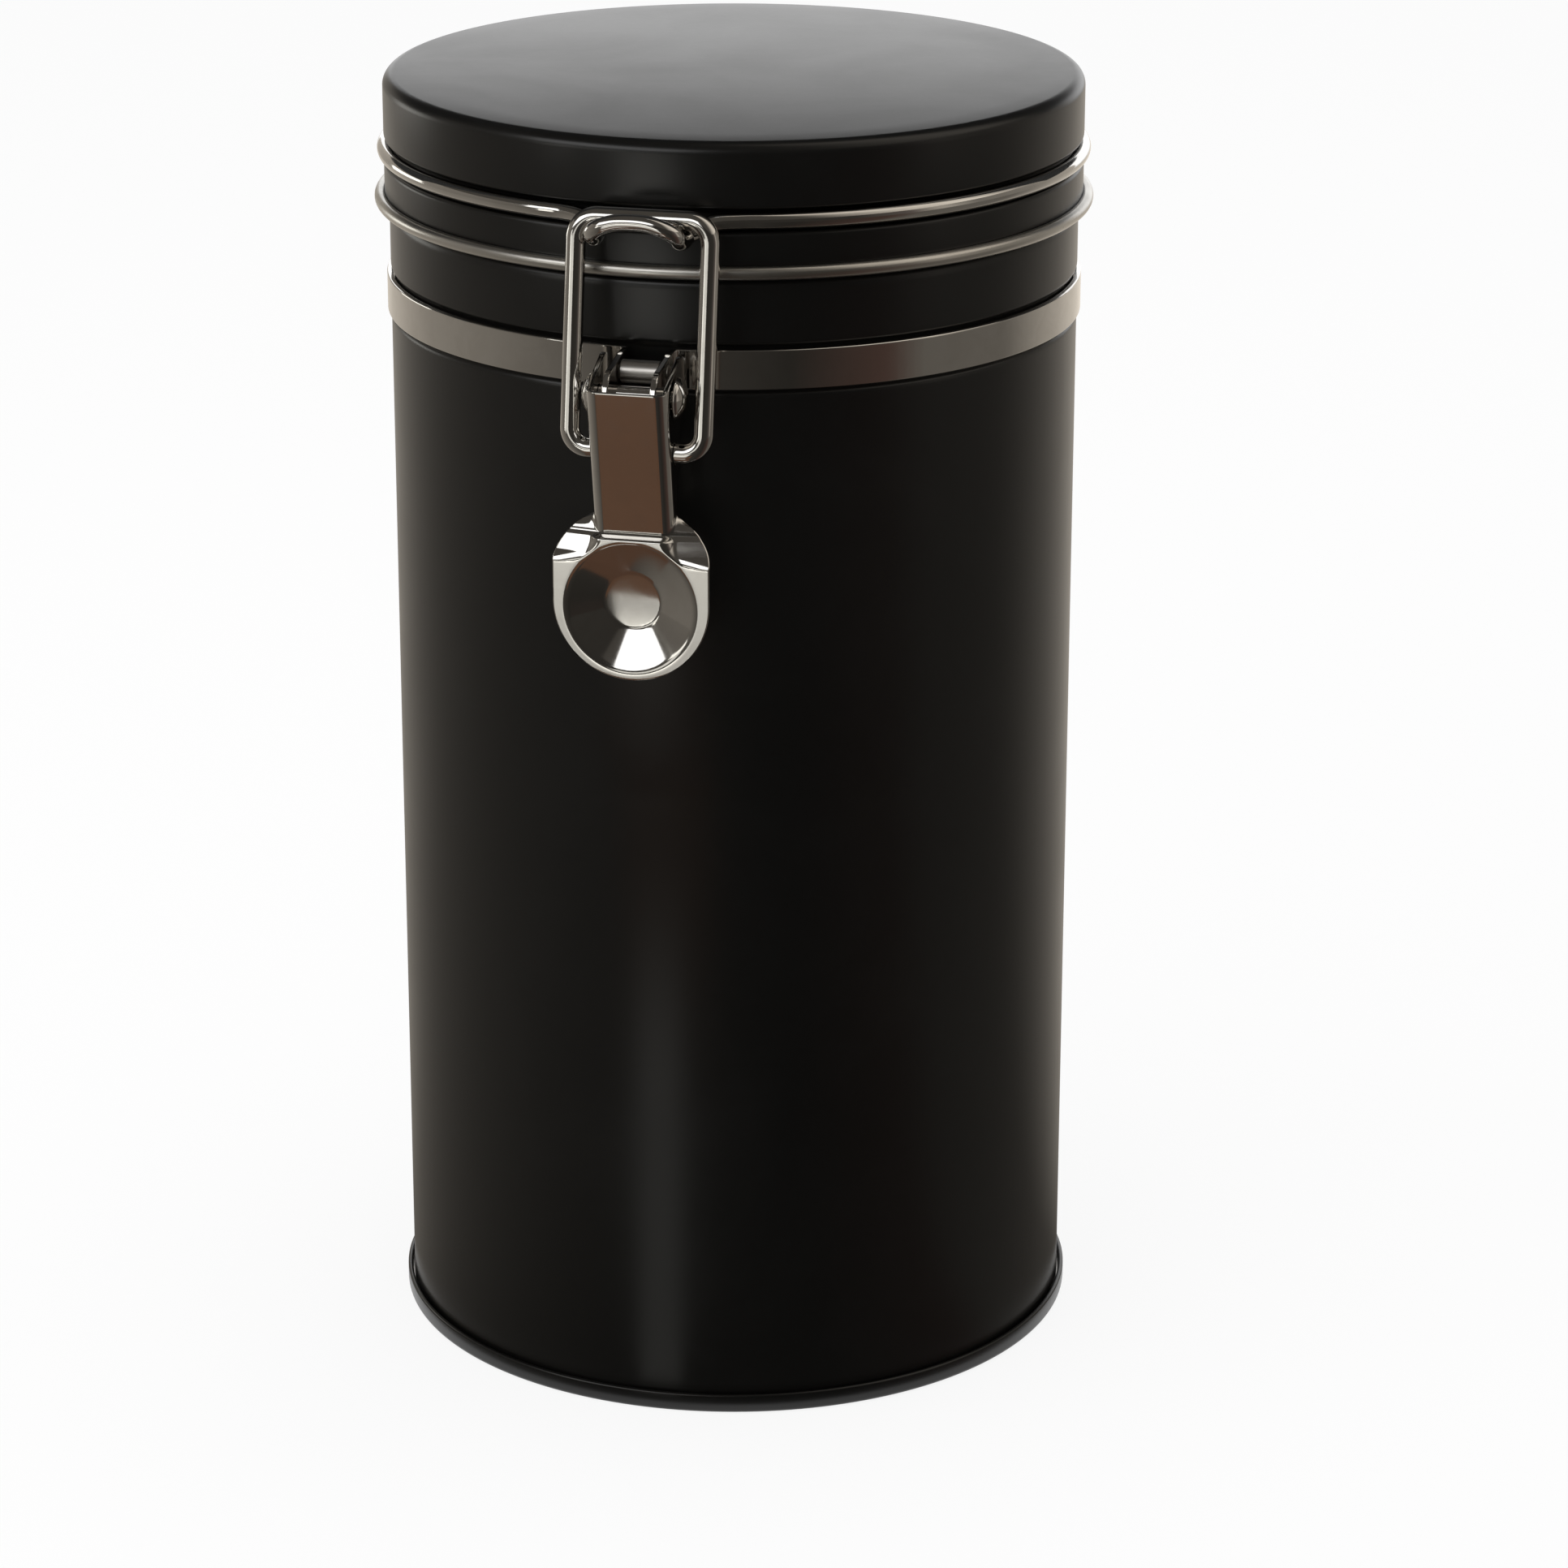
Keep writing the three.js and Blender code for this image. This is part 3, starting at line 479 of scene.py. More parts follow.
def finish_piece(name, mesh, body, nodes, crease=35):
    """Piece in the scene, smooth but for its creases, on its body."""
    mesh.shade_smooth()
    mesh.set_sharp_from_angle(angle=math.radians(crease))
    piece = add_object(name, mesh)
    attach(piece, body)
    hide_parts(*nodes)


# Geometry nodes


def connect(tree, *links):
    """Makes links in a node tree, each given as (node, output, node, input)."""
    for source, output, target, entry in links:
        tree.links.new(source.outputs[output], target.inputs[entry])


def path_tree(name, **inputs):
    """Tree with a path and further inputs of the named kinds, and its input node."""
    tree = bpy.data.node_groups.new(name, 'GeometryNodeTree')
    for socket, kind in {"Path": 'Geometry', **inputs}.items():
        tree.interface.new_socket(socket, in_out='INPUT', socket_type='NodeSocket' + kind)
    tree.interface.new_socket("Mesh", in_out='OUTPUT', socket_type='NodeSocketGeometry')
    return tree, tree.nodes.new('NodeGroupInput')


def end_tree(tree, start, last, output):
    """Shades smooth, realizes instances and sets the finish at a tree's end."""
    smooth = tree.nodes.new('GeometryNodeSetShadeSmooth')
    real = tree.nodes.new('GeometryNodeRealizeInstances')
    finish = tree.nodes.new('GeometryNodeSetMaterial')
    end = tree.nodes.new('NodeGroupOutput')
    connect(tree, (last, output, smooth, "Geometry"), (smooth, "Geometry", real, "Geometry"),
            (real, "Geometry", finish, "Geometry"), (start, "Finish", finish, "Material"),
            (finish, "Geometry", end, "Mesh"))
    return tree


def attribute(tree, name, kind):
    """Node that reads an attribute of the path's points."""
    node = tree.nodes.new('GeometryNodeInputNamedAttribute')
    node.data_type = kind
    node.inputs["Name"].default_value = name
    return node


def round_section(tree, start):
    """Circle with the tree's radius and number of sides."""
    circle = tree.nodes.new('GeometryNodeCurvePrimitiveCircle')
    connect(tree, (start, "Radius", circle, "Radius"), (start, "Sides", circle, "Resolution"))
    return circle


def add_sweep(tree, start, section, level=False):
    """Sweeps a section along the tree's path, thinner where the path's width attribute says so."""
    curve = tree.nodes.new('GeometryNodeMeshToCurve')
    swept = tree.nodes.new('GeometryNodeCurveToMesh')
    swept.inputs["Fill Caps"].default_value = True
    connect(tree, (start, "Path", curve, "Mesh"), (section, "Curve", swept, "Profile Curve"),
            (attribute(tree, "width", 'FLOAT'), "Attribute", swept, "Scale"))
    if level:
        upright = tree.nodes.new('GeometryNodeSetCurveNormal')
        upright.mode = 'Z_UP'
        connect(tree, (curve, "Curve", upright, "Curve"))
        curve = upright
    connect(tree, (curve, "Curve", swept, "Curve"))
    return swept


def wire_tree():
    """Round wire along a path."""
    tree, start = path_tree("Wire along a path", Radius='Float', Sides='Int', Finish='Material')
    return end_tree(tree, start, add_sweep(tree, start, round_section(tree, start)), "Mesh")


def band_tree():
    """Flat band with rounded edges along a level path."""
    tree, start = path_tree("Band along a path", Width='Float', Thickness='Float', Edge='Float',
                            Finish='Material')
    section = tree.nodes.new('GeometryNodeCurvePrimitiveQuadrilateral')
    fillet = tree.nodes.new('GeometryNodeFilletCurve')
    fillet.mode = 'POLY'
    fillet.inputs["Count"].default_value = 3
    fillet.inputs["Limit Radius"].default_value = True
    connect(tree, (start, "Thickness", section, "Width"), (start, "Width", section, "Height"),
            (section, "Curve", fillet, "Curve"), (start, "Edge", fillet, "Radius"))
    return end_tree(tree, start, add_sweep(tree, start, fillet, level=True), "Mesh")


def rivet_tree():
    """Rivets on a path: a shank along each edge, and a head where the path's head attribute says so."""
    tree, start = path_tree("Rivets on a path", Radius='Float', Sides='Int', Head='Object',
                            Finish='Material')
    shanks = add_sweep(tree, start, round_section(tree, start))
    points = tree.nodes.new('GeometryNodeMeshToPoints')
    turn = tree.nodes.new('FunctionNodeAlignRotationToVector')
    turn.axis = 'Z'
    head = tree.nodes.new('GeometryNodeObjectInfo')
    spread = tree.nodes.new('GeometryNodeInstanceOnPoints')
    both = tree.nodes.new('GeometryNodeJoinGeometry')
    connect(tree, (start, "Path", points, "Mesh"), (start, "Head", head, "Object"),
            (attribute(tree, "head", 'BOOLEAN'), "Attribute", points, "Selection"),
            (attribute(tree, "facing", 'FLOAT_VECTOR'), "Attribute", turn, "Vector"),
            (points, "Points", spread, "Points"), (head, "Geometry", spread, "Instance"),
            (turn, "Rotation", spread, "Rotation"), (shanks, "Mesh", both, "Geometry"),
            (spread, "Instances", both, "Geometry"))
    return end_tree(tree, start, both, "Geometry")


def tree_named(name, make):
    """Node tree by name, made when it isn't there yet."""
    return bpy.data.node_groups.get(name) or make()


def set_points(mesh, name, kind, values, key="value"):
    """Writes an attribute of a mesh's points."""
    mesh.attributes.new(name, kind, 'POINT').data.foreach_set(key, values)


def path_mesh(name, path, ends=1.0):
    """Edges along a path, with the share of full width at each point; its two ends have their own share."""
    edges = [(i, i + 1) for i in range(len(path) - 1)]
    mesh = mesh_of(name, path, edges=edges)
    set_points(mesh, "width", 'FLOAT', [ends] + [1.0] * (len(path) - 2) + [ends])
    return mesh


def bent_wire(name, path, radius, finish):
    """Mesh of a round wire with softened ends."""
    soft, tip = 0.25, 0.8
    start, end = Vector(path[0]), Vector(path[-1])
    after = start.lerp(path[1], soft / (path[1] - start).length)
    before = end.lerp(path[-2], soft / (path[-2] - end).length)
    mesh = path_mesh(name, [start, after, *path[1:-1], before, end], tip)
    tree = tree_named("Wire along a path", wire_tree)
    return node_mesh(name, mesh, tree, {"Radius": radius * MM, "Sides": WIRE_SIDES, "Finish": finish})


def rivet_head(name, radius, rise):
    """Object that holds a domed head, its seat at the origin and its crown along z."""
    dome = (radius ** 2 + rise ** 2) / (2 * rise)
    low = math.degrees(math.acos(radius / dome)) + 6
    crown = arc(0, rise - dome, dome, low, 90, 10)
    out, up = crown[0]
    profile = rounded([(0, 0, 0), (radius, 0, 0.12), (out + 0.03, up * 0.6, 0.3), (out, up, 0)])
    profile += crown[1:-1] + [(0, rise)]
    mesh, _ = turned(name, profile, even_angles(HEAD_SIDES))
    mesh.transform(Matrix.Translation((0, -AXIS_Y * MM, 0)))
    return add_object(name, mesh)


def riveted(name, shanks, radius, head_size, finish):
    """Mesh of rivets: shanks are (inner end, outer end, whether the inner end has a head too)."""
    points, edges, heads, facings = [], [], [], []
    for inner, outer, both in shanks:
        along_shank = (Vector(outer) - Vector(inner)).normalized()
        edges.append((len(points), len(points) + 1))
        points += [inner, outer]
        heads += [both, True]
        facings += [*-along_shank, *along_shank]
    mesh = mesh_of(name, points, edges=edges)
    set_points(mesh, "width", 'FLOAT', [1.0] * len(points))
    set_points(mesh, "head", 'BOOLEAN', heads)
    set_points(mesh, "facing", 'FLOAT_VECTOR', facings, "vector")
    head = rivet_head(name + "_head", *head_size)
    tree = tree_named("Rivets on a path", rivet_tree)
    values = {"Radius": radius * MM, "Sides": SHANK_SIDES, "Head": head, "Finish": finish}
    made = node_mesh(name, mesh, tree, values)
    bpy.data.objects.remove(head)
    return made


# Finishes


def add_node(tree, kind, place=(0, 0), **values):
    """Node of a kind, with values set on its inputs or its own settings."""
    node = tree.nodes.new(kind)
    node.location = place
    for key, value in values.items():
        name = key.replace("_", " ").title()
        if name in node.inputs:
            node.inputs[name].default_value = value
        else:
            setattr(node, key, value)
    return node


def effect_group(name, inputs, outputs):
    """Shader group with a vector, further inputs with defaults and number outputs, and its end nodes."""
    group = bpy.data.node_groups.new(name, 'ShaderNodeTree')
    group.interface.new_socket("Vector", in_out='INPUT', socket_type='NodeSocketVector')
    for socket, value in inputs.items():
        kind = 'NodeSocketVector' if isinstance(value, tuple) else 'NodeSocketFloat'
        group.interface.new_socket(socket, in_out='INPUT', socket_type=kind).default_value = value
    for socket in outputs:
        group.interface.new_socket(socket, in_out='OUTPUT', socket_type='NodeSocketFloat')
    return group, group.nodes.new('NodeGroupInput'), group.nodes.new('NodeGroupOutput')


def marks_group():
    """Soft marks of handling: broad cloudy smears with finer ones inside."""
    group, start, end = effect_group("Handling marks", {"Scale": 60.0, "Amount": 0.5}, ["Mask"])
    cloud = add_node(group, 'ShaderNodeTexNoise', detail=4.0, roughness=0.62, distortion=0.6)
    ramp = add_node(group, 'ShaderNodeMapRange', from_min=0.42, from_max=0.78)
    scaled = add_node(group, 'ShaderNodeMath', operation='MULTIPLY')
    connect(group, (start, "Vector", cloud, "Vector"), (start, "Scale", cloud, "Scale"),
            (cloud, "Fac", ramp, "Value"), (ramp, "Result", scaled, 0), (start, "Amount", scaled, 1),
            (scaled, "Value", end, "Mask"))
    return group


def grain_group():
    """Fine grain of a surface: small dimples and finer hairlines drawn along one direction."""
    group, start, end = effect_group("Surface grain", {
        "Dimple Scale": 700.0, "Hairline Scale": 300.0, "Hairline Stretch": (1.0, 1.0, 0.04),
        "Hairline Share": 0.3}, ["Height", "Hairlines"])
    dimples = add_node(group, 'ShaderNodeTexNoise', detail=2.0, roughness=0.5)
    stretch = add_node(group, 'ShaderNodeVectorMath', operation='MULTIPLY')
    lines = add_node(group, 'ShaderNodeTexNoise', detail=3.0, roughness=0.7)
    both = add_node(group, 'ShaderNodeMix', data_type='FLOAT')
    connect(group, (start, "Vector", dimples, "Vector"), (start, "Dimple Scale", dimples, "Scale"),
            (start, "Vector", stretch, 0), (start, "Hairline Stretch", stretch, 1),
            (stretch, "Vector", lines, "Vector"), (start, "Hairline Scale", lines, "Scale"),
            (start, "Hairline Share", both, "Factor"), (dimples, "Fac", both, "A"),
            (lines, "Fac", both, "B"), (both, "Result", end, "Height"), (lines, "Fac", end, "Hairlines"))
    return group


# Each finish: its clean and its marked colour, how much the marks darken it, its roughness where clean, where
# marked and along the hairlines, the height of its grain in metres, and the values of its shader and groups
LOOKS = {
    "black_lacquer_satin": {
        "clean": "lacquer", "marked": "lacquer_worn", "fade": 1.0,
        "roughness": (0.27, 0.34, 0.02), "bump": 0.0000035,
        "shader": {"IOR": 1.5, "Metallic": 0.0},
        "marks": {"Scale": 34.0, "Amount": 0.5},
        "grain": {"Dimple Scale": 900.0, "Hairline Scale": 500.0, "Hairline Share": 0.1}},
    "bright_nickel": {
        "clean": "nickel", "marked": "nickel_dull", "fade": 1.0,
        "roughness": (0.06, 0.15, 0.03), "bump": 0.0000012,
        "shader": {"Metallic": 1.0},
        "marks": {"Scale": 160.0, "Amount": 0.7},
        "grain": {"Dimple Scale": 900.0, "Hairline Scale": 900.0, "Hairline Stretch": (1.0, 1.0, 0.1),
                  "Hairline Share": 0.4}},
    "dull_steel": {
        "clean": "nickel_dull", "marked": "nickel_dull", "fade": 0.8,
        "roughness": (0.3, 0.42, 0.06), "bump": 0.000002,
        "shader": {"Metallic": 1.0},
        "marks": {"Scale": 160.0, "Amount": 0.8},
        "grain": {"Dimple Scale": 900.0, "Hairline Scale": 900.0, "Hairline Stretch": (0.1, 1.0, 1.0),
                  "Hairline Share": 0.6}},
    "rolled_tinplate": {
        "clean": "tinplate", "marked": "nickel_dull", "fade": 1.0,
        "roughness": (0.24, 0.36, 0.1), "bump": 0.000002,
        "shader": {"Metallic": 1.0},
        "marks": {"Scale": 70.0, "Amount": 0.7},
        "grain": {"Dimple Scale": 600.0, "Hairline Scale": 900.0, "Hairline Stretch": (0.06, 0.06, 1.0),
                  "Hairline Share": 0.8}},
    "clear_silicone": {
        "clean": "silicone", "marked": "silicone", "fade": 0.86,
        "roughness": (0.5, 0.66, 0.05), "bump": 0.00001,
        "shader": {"Metallic": 0.0, "Subsurface Weight": 0.3, "Subsurface Scale": 0.001},
        "marks": {"Scale": 90.0, "Amount": 0.8},
        "grain": {"Dimple Scale": 1400.0, "Hairline Share": 0.0}},
}


def finish_of(name):
    """Finish by name: handling marks in its colour and roughness and a grain in its normal."""
    material = bpy.data.materials.get(name)
    if material:
        return material
    look = LOOKS[name]
    colours = bpy.context.scene.canister_finish
    clean_rough, marked_rough, line_rough = look["roughness"]
    material = bpy.data.materials.new(name)
    material.use_nodes = True
    tree = material.node_tree
    shader = tree.nodes["Principled BSDF"]
    place = add_node(tree, 'ShaderNodeTexCoord', (-1200, 0))
    marks = add_node(tree, 'ShaderNodeGroup', (-900, 150))
    marks.node_tree = tree_named("Handling marks", marks_group)
    grain = add_node(tree, 'ShaderNodeGroup', (-900, -250))
    grain.node_tree = tree_named("Surface grain", grain_group)
    for node, values in ((shader, look["shader"]), (marks, look["marks"]), (grain, look["grain"])):
        for key, value in values.items():
            node.inputs[key].default_value = value
    tint = add_node(tree, 'ShaderNodeMix', (-500, 300), data_type='RGBA')
    tint.inputs["A"].default_value = (*getattr(colours, look["clean"]), 1)
    tint.inputs["B"].default_value = (*(v * look["fade"] for v in getattr(colours, look["marked"])), 1)
    gloss = add_node(tree, 'ShaderNodeMapRange', (-500, 0), to_min=clean_rough, to_max=marked_rough)
    lined = add_node(tree, 'ShaderNodeMath', (-300, 0), operation='MULTIPLY_ADD')
    lined.inputs[1].default_value = line_rough
    bump = add_node(tree, 'ShaderNodeBump', (-300, -250), strength=1.0, distance=look["bump"])
    connect(tree, (place, "Object", marks, "Vector"), (place, "Object", grain, "Vector"),
            (marks, "Mask", tint, "Factor"), (tint, "Result", shader, "Base Color"),
            (marks, "Mask", gloss, "Value"), (grain, "Hairlines", lined, 0), (gloss, "Result", lined, 2),
            (lined, "Value", shader, "Roughness"), (grain, "Height", bump, "Height"),
            (bump, "Normal", shader, "Normal"))
    return material


def lacquered_shell(name, profile, painted, body, node, angles=None, shift=None):
    """Turned piece, lacquered up to a step of its profile and bare tinplate from there."""
    mesh, steps = turned(name, profile, angles or can_angles(), shift)
    mesh.materials.append(finish_of("black_lacquer_satin"))
    mesh.materials.append(finish_of("rolled_tinplate"))
    for face, step in zip(mesh.polygons, steps):
        face.material_index = 0 if step < painted else 1
    finish_piece(name, mesh, body, [node])


# Pieces


class CANISTER_OT_body(Operator):
    """Make the can's wall, with its groove, side seam, neck and rolled rim"""
    bl_idname = "canister.body"
    bl_label = "Body"

    def execute(self, context):
        can, latch = in_mm("can"), in_mm("latch")
        r, s = can.body_radius, can.body_sheet
        play, slant, rim_steps = 0.3, 0.6, 18
        foot, neck_top = 1.3, can.rim_height - 1.4
        low = latch.strap_low - play
        high = latch.strap_low + latch.strap_width + play
        mid_neck = (can.body_height + can.neck_height) / 2
        wall = [(r, foot, 0), (r, low - 1.6, 0), (r, low - slant, 0.5), (r - can.groove_depth, low, 0.4),
                (r - can.groove_depth, high, 0.4), (r, high + slant, 0.5), (r, can.body_height, 0.7),
                (r - 0.39, mid_neck, 0.6), (can.neck_radius, can.neck_height, 0.8)]
        outside = rounded(wall + [(can.neck_radius, neck_top, 0)])
        rim = arc(can.rim_centre, can.rim_height, can.rim_radius, -50, 230, rim_steps)
        lining = rounded([(can.neck_radius - s, neck_top, 0)]
                         + [(x - s, up, cut) for x, up, cut in reversed(wall)])
        half = can.seam_width / 2 / r
        soft = 0.35 / r
        back = math.pi / 2
        seam = [back + side * (half + step) for side in (-1, 1) for step in (-soft, 0, soft)]
        clear = half + 2 * soft
        angles = sorted([a for a in can_angles() if abs(a - back) > clear] + seam + [back])

        def seam_shift(angle, radius, up):
            if abs(angle - back) > half + soft * 0.5 or up > low - 1.0 or radius < r - 0.1:
                return 0
            return can.seam_rise * (0.5 if abs(angle - back) > half - soft * 0.5 else 1.0)

        lacquered_shell("can_wall", outside + rim + lining, len(outside) + rim_steps // 2, "canister",
                        "body_shell", angles, seam_shift)
        return {'FINISHED'}


class CANISTER_OT_base(Operator):
    """Make the base, with its folded seam and a ring pressed into its panel"""
    bl_idname = "canister.base"
    bl_label = "Base"

    def execute(self, context):
        can = in_mm("can")
        r, s = can.body_radius, can.body_sheet
        outer = can.foot_radius
        play, wall, well_floor = 0.3, 0.7, 1.0
        well_outer, well_inner = r + play, r - s - play
        inner = well_inner - wall
        turn, cut = 0.8, 0.8
        lip = (outer - well_outer) / 2
        top = can.panel_height + s
        bead = can.panel_bead

        def panel(up):
            return rounded([(0, up, 0), (30, up, 0), (41, up, cut), (41.9, up + bead, cut),
                            (44.6, up + bead, cut), (45.5, up, cut), (48, up, 0)])

        under = panel(can.panel_height) + arc(inner - turn, can.panel_height - turn, turn, 90, 0, 6)
        fold = (arc(inner + turn, turn, turn, 180, 270, 8) + arc(outer - turn, turn, turn, 270, 360, 8)
                + arc(outer - lip, can.foot_height - lip, lip, 0, 180, 12))
        inside = [(well_outer, well_floor), (well_inner, well_floor)]
        inside += arc(well_inner - turn, top - turn, turn, 0, 90, 6) + panel(top)[::-1]
        painted = len(under) + len(fold)
        lacquered_shell("can_base", under + fold + inside, painted, "canister", "base_panel")
        return {'FINISHED'}


class CANISTER_OT_lid(Operator):
    """Make the lid, with its rounded edge, bead and curled skirt"""
    bl_idname = "canister.lid"
    bl_label = "Lid"

    def execute(self, context):
        can, ring_up = in_mm("can"), in_mm("latch").ring_up
        r, s, fillet = can.lid_radius, can.lid_sheet, can.bead_fillet
        reach = math.sqrt(can.bead_arc ** 2 + 2 * can.bead_arc * fillet)
        tilt = math.degrees(math.atan2(reach, fillet))

        def bead(inset, steps):
            return (arc(r - fillet, ring_up + reach, fillet - inset, 0, -tilt, steps)
                    + arc(r, ring_up, can.bead_arc + inset, 180 - tilt, 180 + tilt, 2 * steps)
                    + arc(r - fillet, ring_up - reach, fillet - inset, tilt, 0, steps))

        def crown(inset, steps):
            edge = r - can.lid_edge
            low = can.lid_top - can.lid_crown
            tilt = math.degrees(2 * can.lid_crown / edge)
            rings = 12
            flat = [(edge * i / rings, can.lid_top - can.lid_crown * (i / rings) ** 2 - inset)
                    for i in range(rings)]
            return flat + arc(edge, low - can.lid_edge, can.lid_edge - inset, 90 - tilt, 0, steps)

        meet = math.degrees(math.acos((r - can.curl_centre) / can.curl_radius))
        outside = crown(0, 14) + bead(0, 8) + [(r, can.curl_height + 1.6)]
        curl = arc(can.curl_centre, can.curl_height, can.curl_radius, meet, -180, 26)
        lining = [(r - s, can.curl_height + can.curl_radius)] + (crown(s, 10) + bead(s, 6))[::-1]
        lacquered_shell("lid", outside + curl + lining, len(outside) + 1, "lid", "lid_shell")
        return {'FINISHED'}


class CANISTER_OT_seal(Operator):
    """Make the sealing ring in the lid"""
    bl_idname = "canister.seal"
    bl_label = "Seal"

    def execute(self, context):
        can = in_mm("can")
        low, high = can.seal_low, can.seal_low + can.seal_thickness
        a, b, cut = can.seal_inner, can.seal_outer, 0.4
        middle = (a + b) / 2
        profile = rounded([(middle, low, 0), (b, low, cut), (b, high, cut), (a, high, cut), (a, low, cut),
                           (middle, low, 0)])[:-1]
        mesh, _ = turned("lid_seal", profile, can_angles())
        mesh.materials.append(finish_of("clear_silicone"))
        finish_piece("lid_seal", mesh, "lid", ["lid_gasket"])
        return {'FINISHED'}


class CANISTER_OT_wires(Operator):
    """Bend the lid's wire, with its hook and hinge legs, and the bail"""
    bl_idname = "canister.wires"
    bl_label = "Wires"

    HOOK_STEPS, LEG_STEPS, CORNER_STEPS = 8, 7, 12

    def lid_wire(self, latch, hinge, lid_radius):
        """Path of the lid's wire from one hinge pin round to the other."""
        radius, ring_up = latch.ring_radius, latch.ring_up

        def ring(degrees):
            angle = math.radians(degrees)
            return Vector((radius * math.sin(angle), -radius * math.cos(angle), ring_up))

        half, foot, out, up = latch.hook_half, latch.hook_foot, latch.hook_out, latch.hook_up
        # From the ring to the front of the hook: how far aside, out and up each point lies
        side = [(half + 3.7, radius - 0.35, ring_up - 0.2),
                (half + 2.0, lid_radius + 0.6, ring_up - 0.95),
                (half + 0.4, latch.bar_out - 1.4, foot + 0.4),
                (half + 0.2, latch.bar_out + 0.2, foot),
                (half, out - 2.6, foot + 0.3),
                (half - 0.2, out - 1.1, foot + 1.4),
                (half - 1.5, out - 0.2, up - 1.0),
                (half - 3.8, out, up - 0.2)]
        shift = latch.hook_shift
        left = [ring(-18), ring(-14.5)] + [Vector((shift - x, -y, z)) for x, y, z in side]
        right = [Vector((shift + x, -y, z)) for x, y, z in reversed(side)] + [ring(14.5), ring(18)]
        hook = spline(left + [Vector((shift, -out, up))] + right, self.HOOK_STEPS)
        half, out, pin_out, pin_up = hinge.leg_half, hinge.leg_out, hinge.pin_out, hinge.pin_up
        # From the ring at the back down to the hinge's pin, in the same way
        leg_points = [(half + 2.7, lid_radius - 0.1, ring_up - 0.1),
                      (half + 1.0, lid_radius + 1.8, ring_up - 0.6),
                      (half + 0.2, out - 0.5, ring_up - 1.9),
                      (half, out - 0.05, ring_up - 3.9),
                      (half, out - 0.05, pin_up + 6.1),
                      (half, pin_out + 0.75, pin_up + 2.8),
                      (half - 0.4, pin_out + 0.15, pin_up + 0.7),
                      (half - 1.4, pin_out, pin_up),
                      (half - 2.4, pin_out, pin_up)]
        leg = spline([ring(164), ring(168)] + [Vector(p) for p in leg_points], self.LEG_STEPS)
        leg.append(Vector((0.9, pin_out, pin_up)))
        right_half = [ring(degrees) for degrees in range(20, 164, 2)] + leg
        left_half = [Vector((-p.x, p.y, p.z)) for p in reversed(right_half)]
        return left_half + hook + right_half

    def bail(self, latch):
        """Path of the bail from one end round to the other."""
        low, top = 3.0, 3.3
        foot = Vector((0, -latch.hole_out, latch.hole_up))
        rise = Vector((0, -latch.bar_out, latch.bar_up)) - foot
        side = [(latch.bail_end, 0)] + arc(latch.bail_half - low, low, low, -90, 0, self.CORNER_STEPS)
        side += arc(latch.bail_half - top, rise.length - top, top, 0, 90, self.CORNER_STEPS)
        outline = side + [(-x, y) for x, y in reversed(side)]
        return [Vector((x + latch.bail_shift, 0, 0)) + foot + rise.normalized() * y for x, y in outline]

    def execute(self, context):
        latch = in_mm("latch")
        path = self.lid_wire(latch, in_mm("hinge"), in_mm("can").lid_radius)
        mesh = bent_wire("lid_wire", path, latch.ring_wire, finish_of("bright_nickel"))
        finish_piece("lid_wire", mesh, "lid", ["ring_wire"], crease=50)
        mesh = bent_wire("wire_bail", self.bail(latch), latch.bail_radius, finish_of("bright_nickel"))
        finish_piece("wire_bail", mesh, "bail", ["bail"], crease=50)
        return {'FINISHED'}


